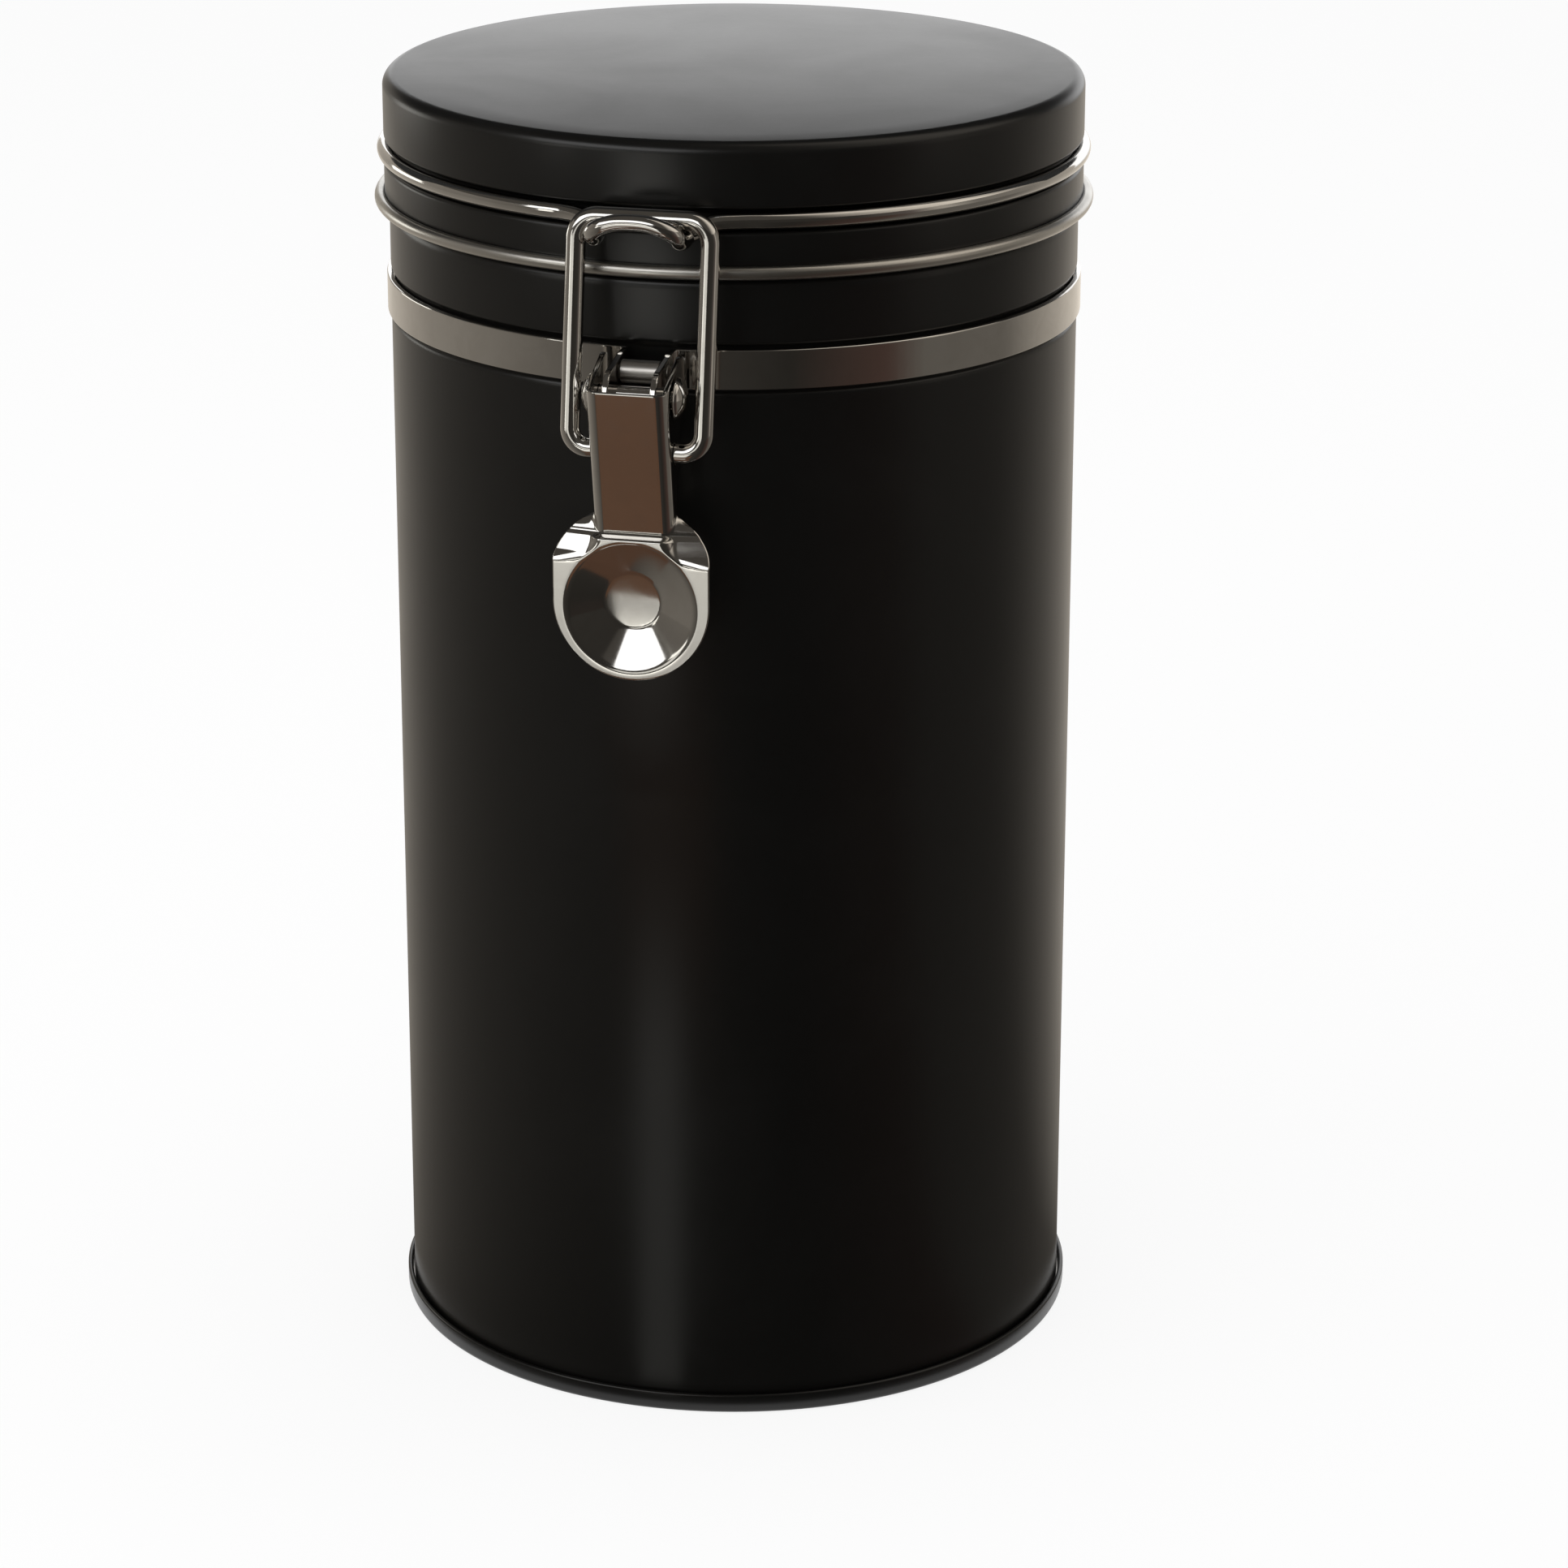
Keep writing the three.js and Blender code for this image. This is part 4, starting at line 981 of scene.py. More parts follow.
class CANISTER_OT_strap(Operator):
    """Make the strap round the can, with its two ears, and the pin between them"""
    bl_idname = "canister.strap"
    bl_label = "Strap"

    EDGE = 0.22
    PIN_HALF = 4.35
    SLEEVE_HALF = 3.1
    EAR_ROWS, EAR_COLUMNS = 12, 18

    def execute(self, context):
        latch = in_mm("latch")
        half_sheet = latch.strap_sheet / 2
        middle = latch.strap_outer - half_sheet
        fold = 0.6
        fold_x = latch.ear_outer + fold
        fold_y = -math.sqrt((latch.strap_outer + fold) ** 2 - fold_x ** 2)
        turn = math.degrees(math.atan2(-fold_y, -fold_x))
        ear_x = latch.ear_outer - half_sheet
        up = latch.strap_low + latch.strap_width / 2
        bend = fold + half_sheet
        right = [(ear_x, -latch.pin_out + 1.5), (ear_x, fold_y - 0.5)]
        right += arc(fold_x, fold_y, bend, 180, turn, 6) + arc(0, 0, middle, turn - 180 + 1, 90, 90)
        left = [(-x, y) for x, y in reversed(right[:-1])]
        path = [Vector((x, y, up)) for x, y in right + left]
        tree = tree_named("Band along a path", band_tree)
        band = node_mesh("strap_band", path_mesh("strap_band", path), tree, {
            "Width": latch.strap_width * MM, "Thickness": latch.strap_sheet * MM, "Edge": self.EDGE * MM,
            "Finish": finish_of("bright_nickel")})
        ears = [self.ear(latch, side) for side in (-1, 1)]
        mesh = joined("strap_band", band, *ears)
        finish_piece("strap_band", mesh, "canister", ["strap"], crease=10)
        pins = []
        for half, radius in ((self.PIN_HALF, latch.pin_radius), (self.SLEEVE_HALF, latch.sleeve_radius)):
            path = [Vector((x, -latch.pin_out, latch.pin_up)) for x in (-half, 0, half)]
            pins.append(bent_wire("strap_pin", path, radius, finish_of("dull_steel")))
        mesh = joined("strap_pin", *pins)
        finish_piece("strap_pin", mesh, "canister", ["tie_pin"], crease=50)
        return {'FINISHED'}

    def ear(self, latch, side):
        """Mesh of one ear: a plate with a round nose about the pivot."""
        inset, proud = 0.05, 0.02
        low, high = latch.strap_low + inset, latch.strap_low + latch.strap_width - inset
        root = latch.strap_outer + 2
        nose = arc(latch.pivot_out, latch.pivot_up, latch.ear_nose, -105, 85, 24)
        corner = 6
        top = along([(root, high)] + nose[:-corner - 2:-1], self.EAR_COLUMNS)
        bottom = along([(root, low)] + nose[:corner + 1], self.EAR_COLUMNS)
        left = along([(root, high), (root, low)], self.EAR_ROWS)
        right = along(nose[corner:-corner][::-1], self.EAR_ROWS)
        rows = patch(top, bottom, left, right)
        outer = latch.ear_outer + proud
        inner = latch.ear_outer - latch.strap_sheet - proud
        front, back = [[[(side * x, -p[0], p[1]) for p in row] for row in rows] for x in (outer, inner)]
        return plain_mesh("ear", sheet("ear", front, back), soft_edges(width=0.18, limit=50))


class CANISTER_OT_lever(Operator):
    """Press the lever: a channel that opens out into a dished thumb tab"""
    bl_idname = "canister.lever"
    bl_label = "Lever"

    # Columns from the middle to each edge, and rows of the top, the face, the neck, the tab and its tip
    COLUMNS = 72
    TOP_ROWS, FACE_ROWS, NECK_ROWS, TAB_ROWS, TIP_ROWS = 26, 30, 72, 16, 36
    # Heights between those rows, and how steeply and softly the neck steps out to the tab
    FACE_TOP = 165.0
    NECK_TOP = 154.5
    NECK_SLOPE = 2.5
    NECK_SOFT, STEP_SOFT = 0.15, 0.35
    # Upper rear corner of the walls: its centre's reach and height, its radius, and where it meets the slope
    CORNER_OUT, CORNER_UP, CORNER = 59.8, 173.0, 2.0
    SLOPE_END = (60.8, 174.73)
    # Reach of the walls' rear edge at the corner and at the bail's holes
    REAR_TOP, REAR_HOLE = 57.8, 60.8
    # Wings: their lean and splay, the radii of their two bends, and how they curl and flare to the walls
    WING_LEAN = math.radians(26)
    WING_SPLAY = math.radians(9)
    WING_FOOT = 3.2
    WING_COUNTER = 1.2
    WING_MIDDLE = 4.5
    WING_CURL = 0.1
    WING_FLARE = 2.5
    # Dish: the lowest point of its floor from its centre, and how softly floor and edge are pressed
    FLOOR_SIDE, FLOOR_DROP = 1.6, 1.4
    FLOOR_SOFT, EDGE_SOFT = 0.1, 0.3

    def front(self, latch, up):
        """How far out the lever's face stands at a height: leaning, then stepped out to the tab."""
        lean = (latch.top_out - latch.foot_out) / (latch.top_up - latch.foot_up)
        face = latch.foot_out + (up - latch.foot_up) * lean
        step = latch.tab_out + (latch.tab_neck - up) * self.NECK_SLOPE
        stepped = smooth_min(step, latch.tab_out, self.STEP_SOFT)
        return -smooth_min(-face, -stepped, self.NECK_SOFT)

    def wing_depth(self, rise):
        """How far behind the tab's front the wings stand at a height above its shoulders."""
        bent = self.WING_FOOT * math.sin(self.WING_LEAN)
        if rise < bent:
            return self.WING_FOOT - math.sqrt(self.WING_FOOT ** 2 - rise ** 2)
        straight = self.WING_FOOT * (1 - math.cos(self.WING_LEAN)) + (rise - bent) * math.tan(self.WING_LEAN)
        return straight + self.WING_CURL * max(0.0, rise - self.WING_MIDDLE) ** 2

    def section(self, latch, up):
        """Steps across the sheet at a height, from the middle to the edge: (length, tilt before, tilt after).

        The face bends back into a wall. Below the channel the wall bends out again into a wing."""
        half, bend = latch.lever_half, latch.lever_bend
        flat = half - bend
        foot = latch.tab_shoulder + latch.wing_top
        if up >= foot:
            rear = latch.tab_out - self.wing_depth(latch.wing_top)
            stations = [(self.CORNER_UP, self.REAR_TOP), (latch.hole_up, self.REAR_HOLE), (foot, rear)]
            wall = self.front(latch, up) - bend - eased(stations, up)[0]
            square = math.pi / 2
            return (flat, 0, 0), (bend * square, 0, square), (wall, square, square)
        rise = max(up - latch.tab_shoulder, 0.0)
        reach = latch.tab_radius - (latch.tab_radius - half) * (rise / latch.wing_top) ** 2
        flare = max(0.0, (rise - latch.wing_top) / self.WING_FLARE + 1) ** 2
        splay = self.WING_SPLAY * min(1.0, rise / 1.5) * (1 - flare) + math.pi / 2 * flare
        counter = min(self.WING_COUNTER, max(0.9 * (reach - half), 0.02))
        flat += (latch.wing_corner - flat) * max(0.0, 1 - rise / latch.wing_height) ** 2
        drop = self.front(latch, up) - latch.tab_out + self.wing_depth(rise)
        drop = max(drop, bend * (1 - math.cos(splay)) + 0.001)
        level = (bend + counter * math.cos(splay) - drop) / (bend + counter)
        turn = max(math.acos(max(level, 0.0)), splay)
        wall = max(0.0, -level * (bend + counter))
        edge = flat + bend * math.sin(turn) + counter * (math.sin(turn) - math.sin(splay))
        run = max(0.01, (reach - edge) / math.cos(self.WING_SPLAY) * (1 - flare))
        return ((flat, 0, 0), (bend * turn, 0, turn), (wall, turn, turn),
                (counter * (turn - splay), turn, splay), (run, splay, splay))

    def line_point(self, latch, up, across):
        """Front point and rear point of the sheet at a height and a share of the way from middle to edge."""
        steps = self.section(latch, up)
        rest = abs(across) * sum(step[0] for step in steps)
        x, out, tilt = 0.0, self.front(latch, up), 0.0
        for length, start, end in steps:
            part = min(rest, length)
            rest -= part
            if abs(end - start) < 1e-6:
                tilt = start
                x += part * math.cos(tilt)
                out -= part * math.sin(tilt)
                continue
            radius = length / (end - start)
            tilt = start + part / radius
            x += radius * (math.sin(tilt) - math.sin(start))
            out -= radius * (math.cos(start) - math.cos(tilt))
            if rest <= 0:
                break
        return self.pressed(latch, x, out, up, tilt, -1 if across < 0 else 1)

    def pressed(self, latch, x, out, up, tilt, side):
        """Front and rear point after the dish is pressed in."""
        aside, above = side * x - latch.dish_side, up - latch.dish_up
        away = math.hypot(aside, above)
        lowest = math.hypot(aside - self.FLOOR_SIDE, above + self.FLOOR_DROP)
        rise = latch.dish_rise
        slope = (latch.dish_depth - rise) / (latch.dish_radius - latch.dish_floor)
        depth = slope * (latch.dish_radius - away)
        if away < latch.dish_floor * 1.5:
            floor = latch.dish_depth - rise * (lowest / latch.dish_floor) ** 2
            depth = smooth_min(depth, floor, self.FLOOR_SOFT)
        if away < latch.dish_radius + 1:
            out = smooth_min(out, latch.tab_out - depth, self.EDGE_SOFT)
        thin = latch.lever_sheet
        front = Vector((side * x, -out, up))
        return front, front - Vector((side * thin * math.sin(tilt), -thin * math.cos(tilt), 0))

    def top_height(self, latch, out):
        """Height of the walls' upper edge where they stand a given way out."""
        start, end = (latch.top_out - latch.lever_sheet, latch.top_up), self.SLOPE_END
        if out >= start[0]:
            return latch.top_up
        if out >= self.CORNER_OUT + self.CORNER * 0.5:
            return start[1] + (start[0] - out) / (start[0] - end[0]) * (end[1] - start[1])
        return self.CORNER_UP + math.sqrt(max(0.0, self.CORNER ** 2 - (out - self.CORNER_OUT) ** 2))

    def grid(self, latch):
        """Rows of front and rear points from the upper edge to the foot of the tab."""
        count, join = self.COLUMNS, self.FACE_TOP
        shares = [j / count for j in range(-count, count + 1)]
        heights = []
        for across in shares:
            up = latch.top_up
            for _ in range(8):
                up = self.top_height(latch, -self.line_point(latch, up, across)[0].y)
            heights.append(up)
        rows = []
        for i in range(self.TOP_ROWS):
            t = 1 - i / self.TOP_ROWS
            rows.append([self.line_point(latch, join + (up - join) * t, across)
                         for across, up in zip(shares, heights)])
        flat = latch.tab_shoulder
        spans = ((self.NECK_TOP, join, self.FACE_ROWS), (flat, self.NECK_TOP, self.NECK_ROWS))
        for low, high, steps in spans:
            for i in range(steps):
                up = high + (low - high) * i / steps
                rows.append([self.line_point(latch, up, across) for across in shares])

        def plate(x, up):
            return self.pressed(latch, abs(x), latch.tab_out, up, 0.0, -1 if x < 0 else 1)

        r, centre = latch.tab_radius, latch.tab_up
        for i in range(self.TAB_ROWS):
            up = flat + (centre - flat) * i / self.TAB_ROWS
            rows.append([plate(r * across, up) for across in shares])
        top = [Vector((r * across, centre)) for across in shares]
        arcs = ((225, 315, 2 * count), (180, 225, self.TIP_ROWS), (0, -45, self.TIP_ROWS))
        bottom, left, right = [[Vector(p) for p in arc(0, centre, r, *span)] for span in arcs]
        for row in patch(top, bottom, left, right):
            rows.append([plate(p[0], p[1]) for p in row])
        return rows

    def hole_cutter(self, out, up, radius):
        """Object along x that cuts a hole through both walls."""
        reach = 9
        circle = arc(0, 0, radius, 0, 360, 40)[:-1]
        points = [(x, -out + a, up + b) for x in (-reach, reach) for a, b in circle]
        n = len(circle)
        faces = [tuple(range(n)), tuple(range(2 * n - 1, n - 1, -1))]
        faces += [(i, n + i, n + (i + 1) % n, (i + 1) % n) for i in range(n)]
        mesh = mesh_of("hole_cutter", points, faces)
        face_outwards(mesh)
        return add_object("hole_cutter", mesh)

    def execute(self, context):
        latch = in_mm("latch")
        play = 0.3
        rows = self.grid(latch)
        front, back = [[[pair[k] for pair in row] for row in rows] for k in (0, 1)]
        mesh = sheet("thumb_lever", front, back)
        cutters = [self.hole_cutter(latch.pivot_out, latch.pivot_up, latch.pivot_radius + play),
                   self.hole_cutter(latch.hole_out, latch.hole_up, latch.bail_radius + play)]
        steps = [soft_edges(width=0.16, limit=60)]
        for cutter in cutters:
            steps.append(('BOOLEAN', {"object": cutter, "operation": 'DIFFERENCE', "solver": 'EXACT'}))
        mesh = plain_mesh("thumb_lever", mesh, *steps)
        for cutter in cutters:
            bpy.data.objects.remove(cutter)
        mesh.materials.clear()
        mesh.materials.append(finish_of("bright_nickel"))
        finish_piece("thumb_lever", mesh, "lever", ["lever"], crease=45)
        return {'FINISHED'}


class CANISTER_OT_rivets(Operator):
    """Set the lever's rivet and the two rivets of the hinge"""
    bl_idname = "canister.rivets"
    bl_label = "Rivets"

    def execute(self, context):
        latch, hinge, plating = in_mm("latch"), in_mm("hinge"), finish_of("bright_nickel")
        play = 0.3
        seat = latch.lever_half + play
        ends = [(x, -latch.pivot_out, latch.pivot_up) for x in (-seat, seat)]
        head = (latch.head_radius, latch.head_rise)
        mesh = riveted("lever_rivet", [(*ends, True)], latch.pivot_radius, head, plating)
        finish_piece("lever_rivet", mesh, "canister", ["pivot_rivet"], crease=50)
        inner = latch.strap_outer - latch.strap_sheet + 0.05
        outer = hinge.leaf_radius + play
        up = Vector((0, 0, latch.strap_low + latch.strap_width / 2))
        shanks = []
        for side in (-1, 1):
            angle = side * hinge.rivet_spread / hinge.leaf_radius
            away = Vector((math.sin(angle), math.cos(angle), 0))
            shanks.append((away * inner + up, away * outer + up, False))
        head = (hinge.rivet_head, hinge.rivet_rise)
        mesh = riveted("hinge_rivets", shanks, hinge.rivet_radius, head, plating)
        nodes = ["hinge_rivet_left", "hinge_rivet_right"]
        finish_piece("hinge_rivets", mesh, "canister", nodes, crease=50)
        return {'FINISHED'}


class CANISTER_OT_hinge(Operator):
    """Make the hinge's leaf, rolled into a knuckle"""
    bl_idname = "canister.hinge"
    bl_label = "Hinge leaf"

    # Rows of the plate and of the roll, columns across, and how far the knuckle is rolled, in degrees
    ROWS, ROLL_ROWS, COLUMNS = 48, 40, 24
    ROLL = 305
    # The round plate starts to flatten this far below its top, and is flat after that length
    FLATTEN_FROM, FLATTEN_OVER = 1.5, 2.0

    def half_width(self, hinge, up):
        """Half the leaf's width at a height: round corners, then the narrower knuckle."""
        corner, half = hinge.leaf_corner, hinge.leaf_half
        low, high = hinge.leaf_low + corner, hinge.leaf_high - corner
        if up < low:
            return half - corner + math.sqrt(max(0.0, corner ** 2 - (low - up) ** 2))
        if up < high:
            return half
        if up < hinge.leaf_high:
            return half - corner + math.sqrt(max(0.0, corner ** 2 - (up - high) ** 2))
        neck = half - corner - hinge.knuckle_half
        rest = max(0.0, neck - (up - hinge.leaf_high))
        return half - corner - math.sqrt(max(0.0, neck ** 2 - rest ** 2))

    def execute(self, context):
        hinge = in_mm("hinge")
        s = hinge.leaf_sheet
        middle = hinge.leaf_radius - s / 2
        roll = hinge.pin_out - middle
        places = [2 * j / self.COLUMNS - 1 for j in range(self.COLUMNS + 1)]
        front, back = [], []
        for i in range(self.ROWS + 1):
            up = hinge.leaf_low + (hinge.pin_up - hinge.leaf_low) * (i / self.ROWS)
            half = self.half_width(hinge, up)
            t = min(max((up - hinge.leaf_high + self.FLATTEN_FROM) / self.FLATTEN_OVER, 0.0), 1.0)
            row_front, row_back = [], []
            for place in places:
                x = half * place
                angle = math.asin(x / middle)
                round_y = middle * math.cos(angle)
                y = round_y + (middle - round_y) * t * t * (3 - 2 * t)
                normal = Vector((math.sin(angle) * (1 - t), math.cos(angle) * (1 - t) + t, 0)).normalized()
                point = Vector((x, y, up))
                row_front.append(point + normal * s / 2)
                row_back.append(point - normal * s / 2)
            front.append(row_front)
            back.append(row_back)
        row = [Vector((hinge.knuckle_half * place, 0, 0)) for place in places]
        centre = Vector((0, hinge.pin_out, hinge.pin_up))
        for i in range(1, self.ROLL_ROWS + 1):
            angle = math.radians(180 - self.ROLL * i / self.ROLL_ROWS)
            away = Vector((0, math.cos(angle), math.sin(angle)))
            front.append([p + centre + away * (roll - s / 2) for p in row])
            back.append([p + centre + away * (roll + s / 2) for p in row])
        mesh = plain_mesh("hinge_plate", sheet("hinge_plate", front, back), soft_edges(width=0.14, limit=60))
        mesh.materials.append(finish_of("bright_nickel"))
        finish_piece("hinge_plate", mesh, "canister", ["hinge_leaf"], crease=45)
        return {'FINISHED'}


# Stage


def light_path_background(tree, plain, seen, output):
    """Shows one shader to the camera and to reflections, and another one to all other light."""
    path = add_node(tree, 'ShaderNodeLightPath', (-600, 300))
    either = add_node(tree, 'ShaderNodeMath', (-400, 300), operation='MAXIMUM')
    every = add_node(tree, 'ShaderNodeMath', (-200, 300), operation='MAXIMUM')
    mix = add_node(tree, 'ShaderNodeMixShader', (0, 300))
    connect(tree, (path, "Is Camera Ray", either, 0), (path, "Is Glossy Ray", either, 1),
            (either, "Value", every, 0), (path, "Is Transmission Ray", every, 1), (every, "Value", mix, 0),
            (plain, 0, mix, 1), (seen, 0, mix, 2), (mix, 0, output, "Surface"))


def card(name, points, faces, tones):
    """Studio card that only reflections see, with a tone at each point."""
    mesh = bpy.data.meshes.new(name)
    mesh.from_pydata(points, [], faces)
    tone = mesh.color_attributes.new("tone", 'FLOAT_COLOR', 'POINT')
    for item, rgb in zip(tone.data, tones):
        item.color = (*rgb, 1)
    mesh.materials.append(bpy.data.materials.get("card") or card_material())
    made = add_object(name, mesh)
    made.visible_camera = False
    made.visible_diffuse = False
    made.visible_shadow = False
    made.visible_transmission = False


def bare_material(name):
    """Material without a shader yet, with its tree and its output node."""
    material = bpy.data.materials.new(name)
    material.use_nodes = True
    tree = material.node_tree
    tree.nodes.remove(tree.nodes["Principled BSDF"])
    return material, tree, tree.nodes["Material Output"]


def card_material():
    """Card that shows its own tones."""
    material, tree, output = bare_material("card")
    tone = add_node(tree, 'ShaderNodeVertexColor', (-300, 0), layer_name="tone")
    glow = add_node(tree, 'ShaderNodeEmission')
    connect(tree, (tone, "Color", glow, "Color"), (glow, 0, output, "Surface"))
    return material


def ring_card(name, inner, outer, tones):
    """Card round the can from one circle to another, each of (radius, height); tones are (degrees, rgb)."""
    points, faces, colours = [], [], []
    steps = 120
    for i in range(steps + 1):
        degrees = tones[0][0] + (tones[-1][0] - tones[0][0]) * i / steps
        k = 0
        while k < len(tones) - 2 and degrees > tones[k + 1][0]:
            k += 1
        t = (degrees - tones[k][0]) / (tones[k + 1][0] - tones[k][0])
        rgb = [a + (b - a) * t for a, b in zip(tones[k][1], tones[k + 1][1])]
        angle = math.radians(degrees)
        for radius, up in (inner, outer):
            points.append((radius * math.sin(angle), AXIS_Y * MM - radius * math.cos(angle), up))
            colours.append(rgb)
    for i in range(steps):
        faces.append((2 * i, 2 * i + 1, 2 * i + 3, 2 * i + 2))
    card(name, points, faces, colours)


def grey(value):
    """Neutral tone."""
    return (value, value, value)


def warm(value):
    """Warm tone."""
    return (value, value * 0.91, value * 0.79)


def pale(value):
    """Tone of the bright windows."""
    return (value, value * 0.98, value * 0.91)


class CANISTER_OT_stage(Operator):
    """Set the floor, the light and the camera"""
    bl_idname = "canister.stage"
    bl_label = "Stage"

    def floor(self, settings, tone):
        """Pale floor, almost white to the camera."""
        mesh = bpy.data.meshes.new("floor")
        reach = 4.0
        corners = [(-reach, -reach, 0), (reach, -reach, 0), (reach, reach, 0), (-reach, reach, 0)]
        mesh.from_pydata(corners, [], [(0, 1, 2, 3)])
        material, tree, output = bare_material("pale_floor")
        paint = add_node(tree, 'ShaderNodeBsdfDiffuse', (-400, -100))
        paint.inputs["Color"].default_value = (*tone, 1)
        white = add_node(tree, 'ShaderNodeEmission', (-400, -300))
        seen = add_node(tree, 'ShaderNodeMixShader', (-200, -200))
        seen.inputs[0].default_value = 1 - settings.shadow
        connect(tree, (paint, 0, seen, 1), (white, 0, seen, 2))
        light_path_background(tree, paint, seen, output)
        mesh.materials.append(material)
        add_object("floor", mesh)

    def surround(self):
        """White surround, with a softer light of its own."""
        world = bpy.data.worlds.new("studio")
        bpy.context.scene.world = world
        world.use_nodes = True
        tree = world.node_tree
        tree.nodes.clear()
        soft = add_node(tree, 'ShaderNodeBackground', (-300, 0), strength=0.8)
        white = add_node(tree, 'ShaderNodeBackground', (-300, -200), strength=1.0)
        soft.inputs["Color"].default_value = (1, 1, 1, 1)
        white.inputs["Color"].default_value = (1, 1, 1, 1)
        light_path_background(tree, soft, white, add_node(tree, 'ShaderNodeOutputWorld', (300, 0)))

    def cards(self):
        """Dark and tinted cards that the lacquer and the plating mirror, in metres about the can's axis."""
        low = 0.0004
        ring_card("floor_card", (0.0578, low), (1.6, low), [
            (-180, warm(0.9)), (-135, warm(0.55)), (-103, warm(0.3)), (-62, warm(0.19)), (-30, warm(0.1)),
            (-10, warm(0.05)), (30, warm(0.025)), (62, (0.07, 0.043, 0.035)), (75, warm(0.13)),
            (110, warm(0.15)), (140, warm(0.45)), (180, warm(0.9))])
        ring_card("front_card", (1.2, 0.0), (1.2, 0.75), [
            (-150, warm(0.5)), (-120, warm(0.3)), (-60, warm(0.16)), (-30, warm(0.07)), (0, warm(0.03)),
            (50, warm(0.04)), (70, (0.12, 0.1, 0.09)), (80, warm(0.45)), (95, warm(0.2)), (120, warm(0.25)),
            (150, warm(0.5))])
        ring_card("high_card", (1.7, 0.75), (0.05, 1.9), [
            (-180, warm(0.07)), (40, warm(0.07)), (80, warm(0.7)), (105, warm(0.9)), (130, warm(0.3)),
            (150, warm(0.07)), (180, warm(0.07))])
        axis = AXIS_Y * MM
        # Each cross line of the strip: its left and right end, how far out it lies, and its tone
        strip = [(-0.0054, 0.003, 0.0618, 0.42), (-0.075, -0.016, 0.25, 0.75), (-0.164, -0.037, 0.45, 0.6),
                 (-0.28, -0.07, 0.7, 1.3), (-0.46, -0.12, 1.1, 2.6)]
        card("strip_card", [(x, axis - out, 2 * low) for a, b, out, _ in strip for x in (a, b)],
             [(2 * i, 2 * i + 1, 2 * i + 3, 2 * i + 2) for i in range(len(strip) - 1)],
             [pale(tone) for *_, tone in strip for _ in (0, 1)])
        ring_card("streak_card", (0.8, 0.1), (0.8, 0.33), [(-47, pale(1.6)), (-39, pale(1.6))])
        ring_card("wing_card", (0.5, 0.125), (0.5, 0.25), [(-120, pale(1.8)), (-98, pale(1.8))])
        ring_card("wire_card", (0.9, 0.14), (0.9, 0.28), [(-40, pale(0.9)), (-7, pale(0.9))])
        turn = math.radians(13.4)
        back, right = Vector((-math.sin(turn), math.cos(turn))), Vector((math.cos(turn), math.sin(turn)))
        for name, out, half, heights, tone in (("back_card", 0.13, 0.35, (0.246, 0.9), 0.03),
                                               ("pale_card", 1.4, 1.6, (0.1, 1.2), 1.45)):
            foot = [back * out + right * side for side in (-half, half)]
            points = [(p.x, p.y + axis, up) for up in heights for p in foot]
            card(name, points, [(0, 1, 3, 2)], [grey(tone)] * 4)
        y = axis - 0.205
        card("tan_card", [(x, y, up) for up in (0.012, 0.079) for x in (-0.085, -0.06, 0.0, 0.02)],
             [(0, 1, 5, 4), (1, 2, 6, 5), (2, 3, 7, 6)],
             [(0.07, 0.055, 0.042), (0.13, 0.072, 0.045), (0.12, 0.066, 0.04), (0.15, 0.07, 0.04)] * 2)
        corners = ((-0.03, 0.08), (0.012, 0.08), (0.012, 0.11), (-0.03, 0.11))
        card("thumb_card", [(x, axis - out, 0.1) for x, out in corners], [(0, 1, 2, 3)],
             [(0.1, 0.055, 0.035)] * 4)

    def lamp(self, name, place, aim, size, watts):
        """Soft box aimed at a point."""
        light = bpy.data.lights.new(name, 'AREA')
        light.shape = 'RECTANGLE'
        light.size, light.size_y = size
        light.energy = watts
        lamp = add_object(name, light)
        lamp.location = place
        lamp.rotation_euler = (Vector(aim) - Vector(place)).to_track_quat('-Z', 'Y').to_euler()
        return lamp

    def execute(self, context):
        scene = context.scene
        settings = scene.canister_stage
        self.floor(settings, scene.canister_finish.floor)
        self.surround()
        self.cards()
        centre = (0, 0, 0.12)
        self.lamp("front_box", place=(-0.39, -0.71, 0.605), aim=(0, -0.06, 0.14), size=(0.86, 0.36),
                  watts=1.8)
        left = self.lamp("left_box", place=(-0.9, -0.35, 0.55), aim=centre, size=(0.3, 0.6), watts=1.2)
        top = self.lamp("top_box", place=(0.1, 0.15, 1.25), aim=centre, size=(0.7, 0.7), watts=3.0)
        left.visible_glossy = False
        top.visible_glossy = False
        data = bpy.data.cameras.new("camera")
        data.lens = settings.lens
        data.sensor_width = 36.0
        camera = add_object("camera", data)
        camera.location = Vector(settings.camera_place) + Vector((0, AXIS_Y * MM, 0))
        camera.rotation_euler = settings.camera_turn
        scene.camera = camera
        scene.view_settings.view_transform = 'Standard'
        return {'FINISHED'}


PIECES = (CANISTER_OT_body, CANISTER_OT_base, CANISTER_OT_lid, CANISTER_OT_seal, CANISTER_OT_wires,
          CANISTER_OT_strap, CANISTER_OT_lever, CANISTER_OT_rivets, CANISTER_OT_hinge, CANISTER_OT_stage)


class CANISTER_PT_panel(Panel):
    """Canister's sizes, colours and pieces"""
    bl_idname = "CANISTER_PT_panel"
    bl_label = "Coffee canister"
    bl_space_type = 'VIEW_3D'
    bl_region_type = 'UI'
    bl_category = "Canister"

    def draw(self, context):
        for piece in PIECES:
            self.layout.operator(piece.bl_idname)
        for name in GROUPS:
            group = getattr(context.scene, name)
            box = self.layout.box()
            for key in type(group).__annotations__:
                box.prop(group, key)


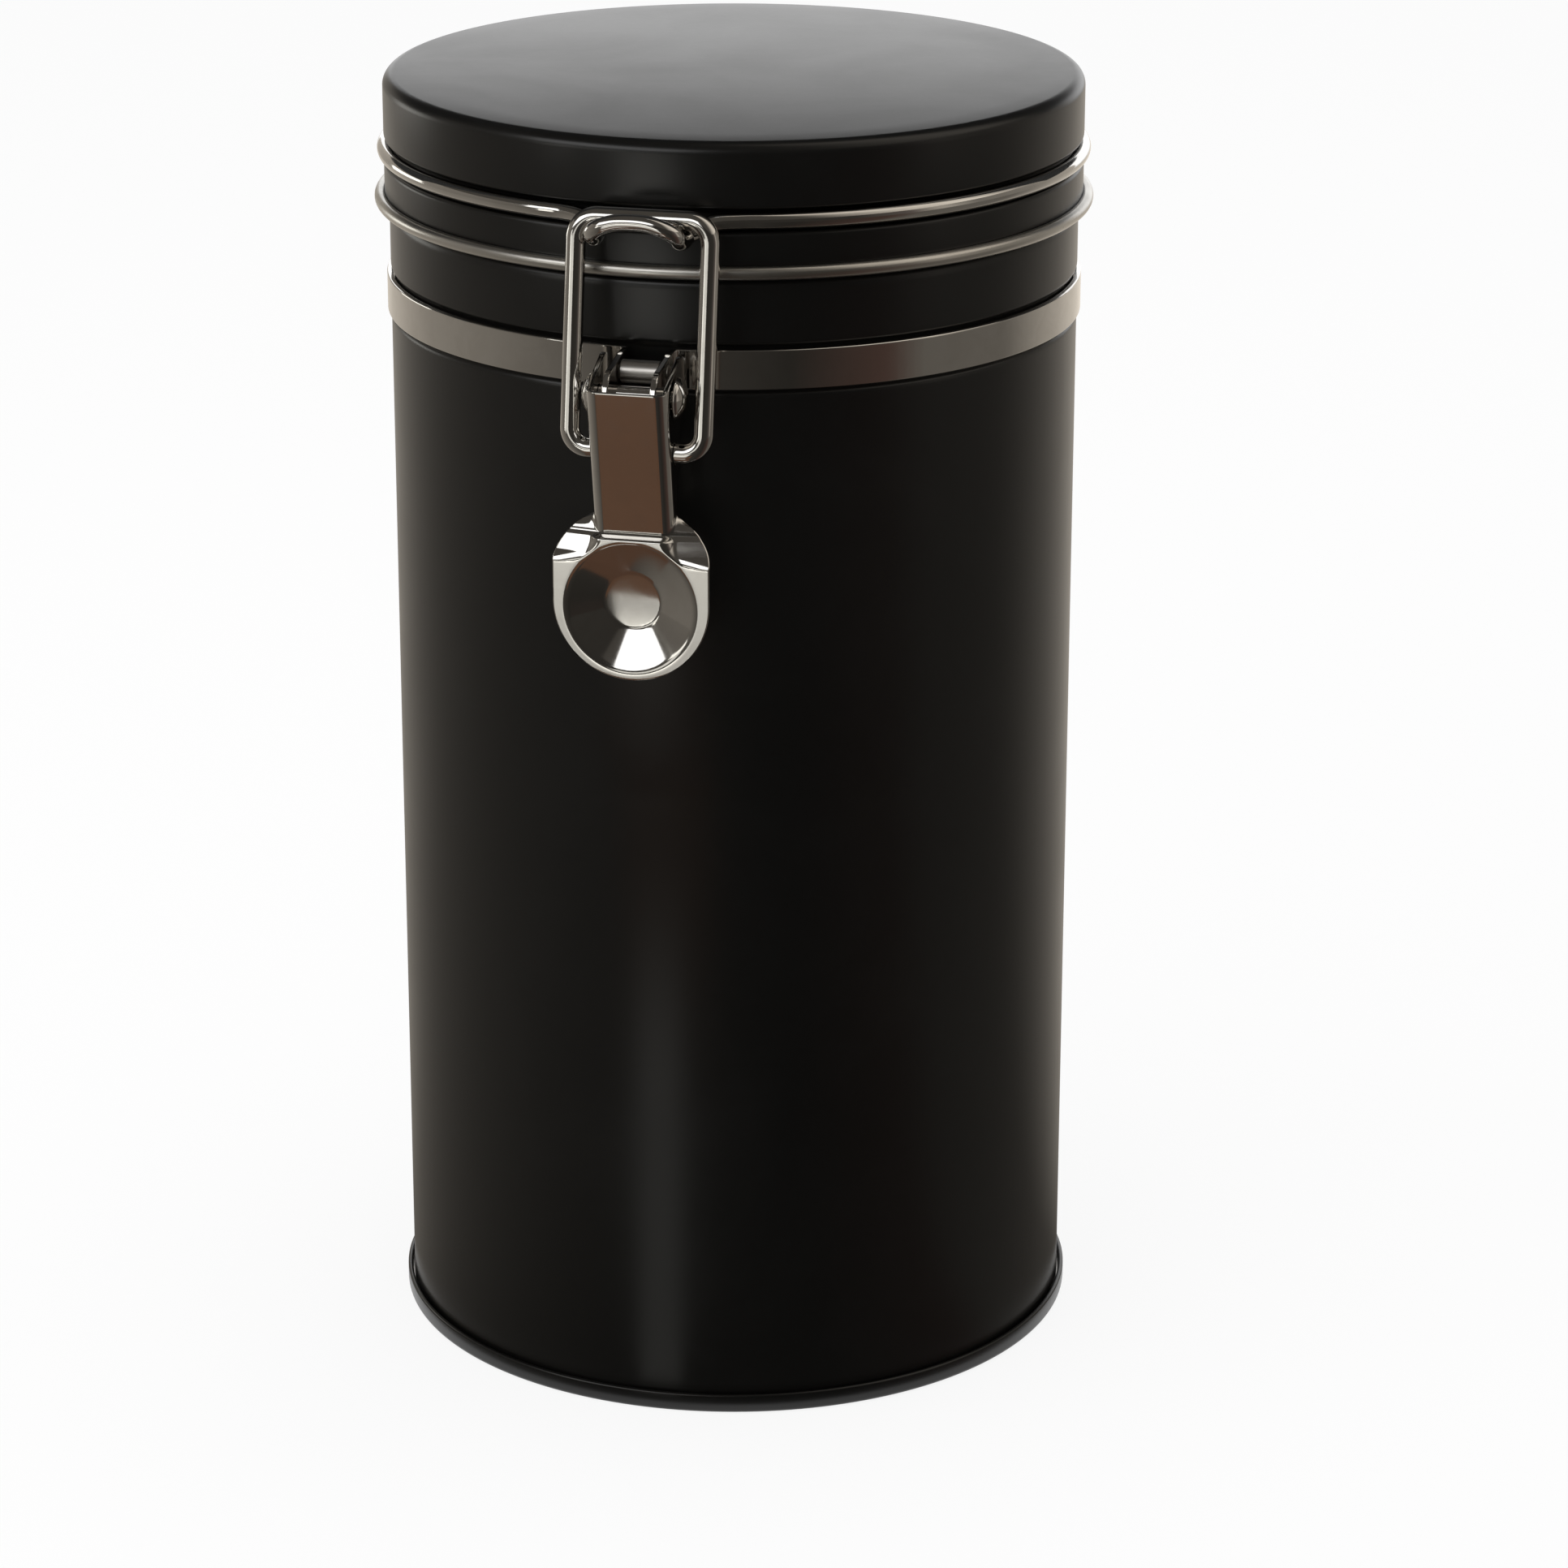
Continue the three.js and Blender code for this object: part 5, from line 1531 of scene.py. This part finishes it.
GROUPS = {"canister_can": CanSizes, "canister_latch": LatchSizes, "canister_hinge": HingeSizes,
          "canister_finish": FinishColours, "canister_stage": StageSettings}
CLASSES = (*GROUPS.values(), *PIECES, CANISTER_PT_panel)


def register():
    """Registers the classes and puts the settings on the scene."""
    for cls in CLASSES:
        bpy.utils.register_class(cls)
    for name, group in GROUPS.items():
        setattr(bpy.types.Scene, name, PointerProperty(type=group))


def unregister():
    """Takes the settings and the classes away again."""
    for name in GROUPS:
        delattr(bpy.types.Scene, name)
    for cls in reversed(CLASSES):
        bpy.utils.unregister_class(cls)


def main():
    """Makes every piece and the stage."""
    register()
    for piece in PIECES:
        group, name = piece.bl_idname.split(".")
        getattr(getattr(bpy.ops, group), name)()


if __name__ == "__main__":
    main()
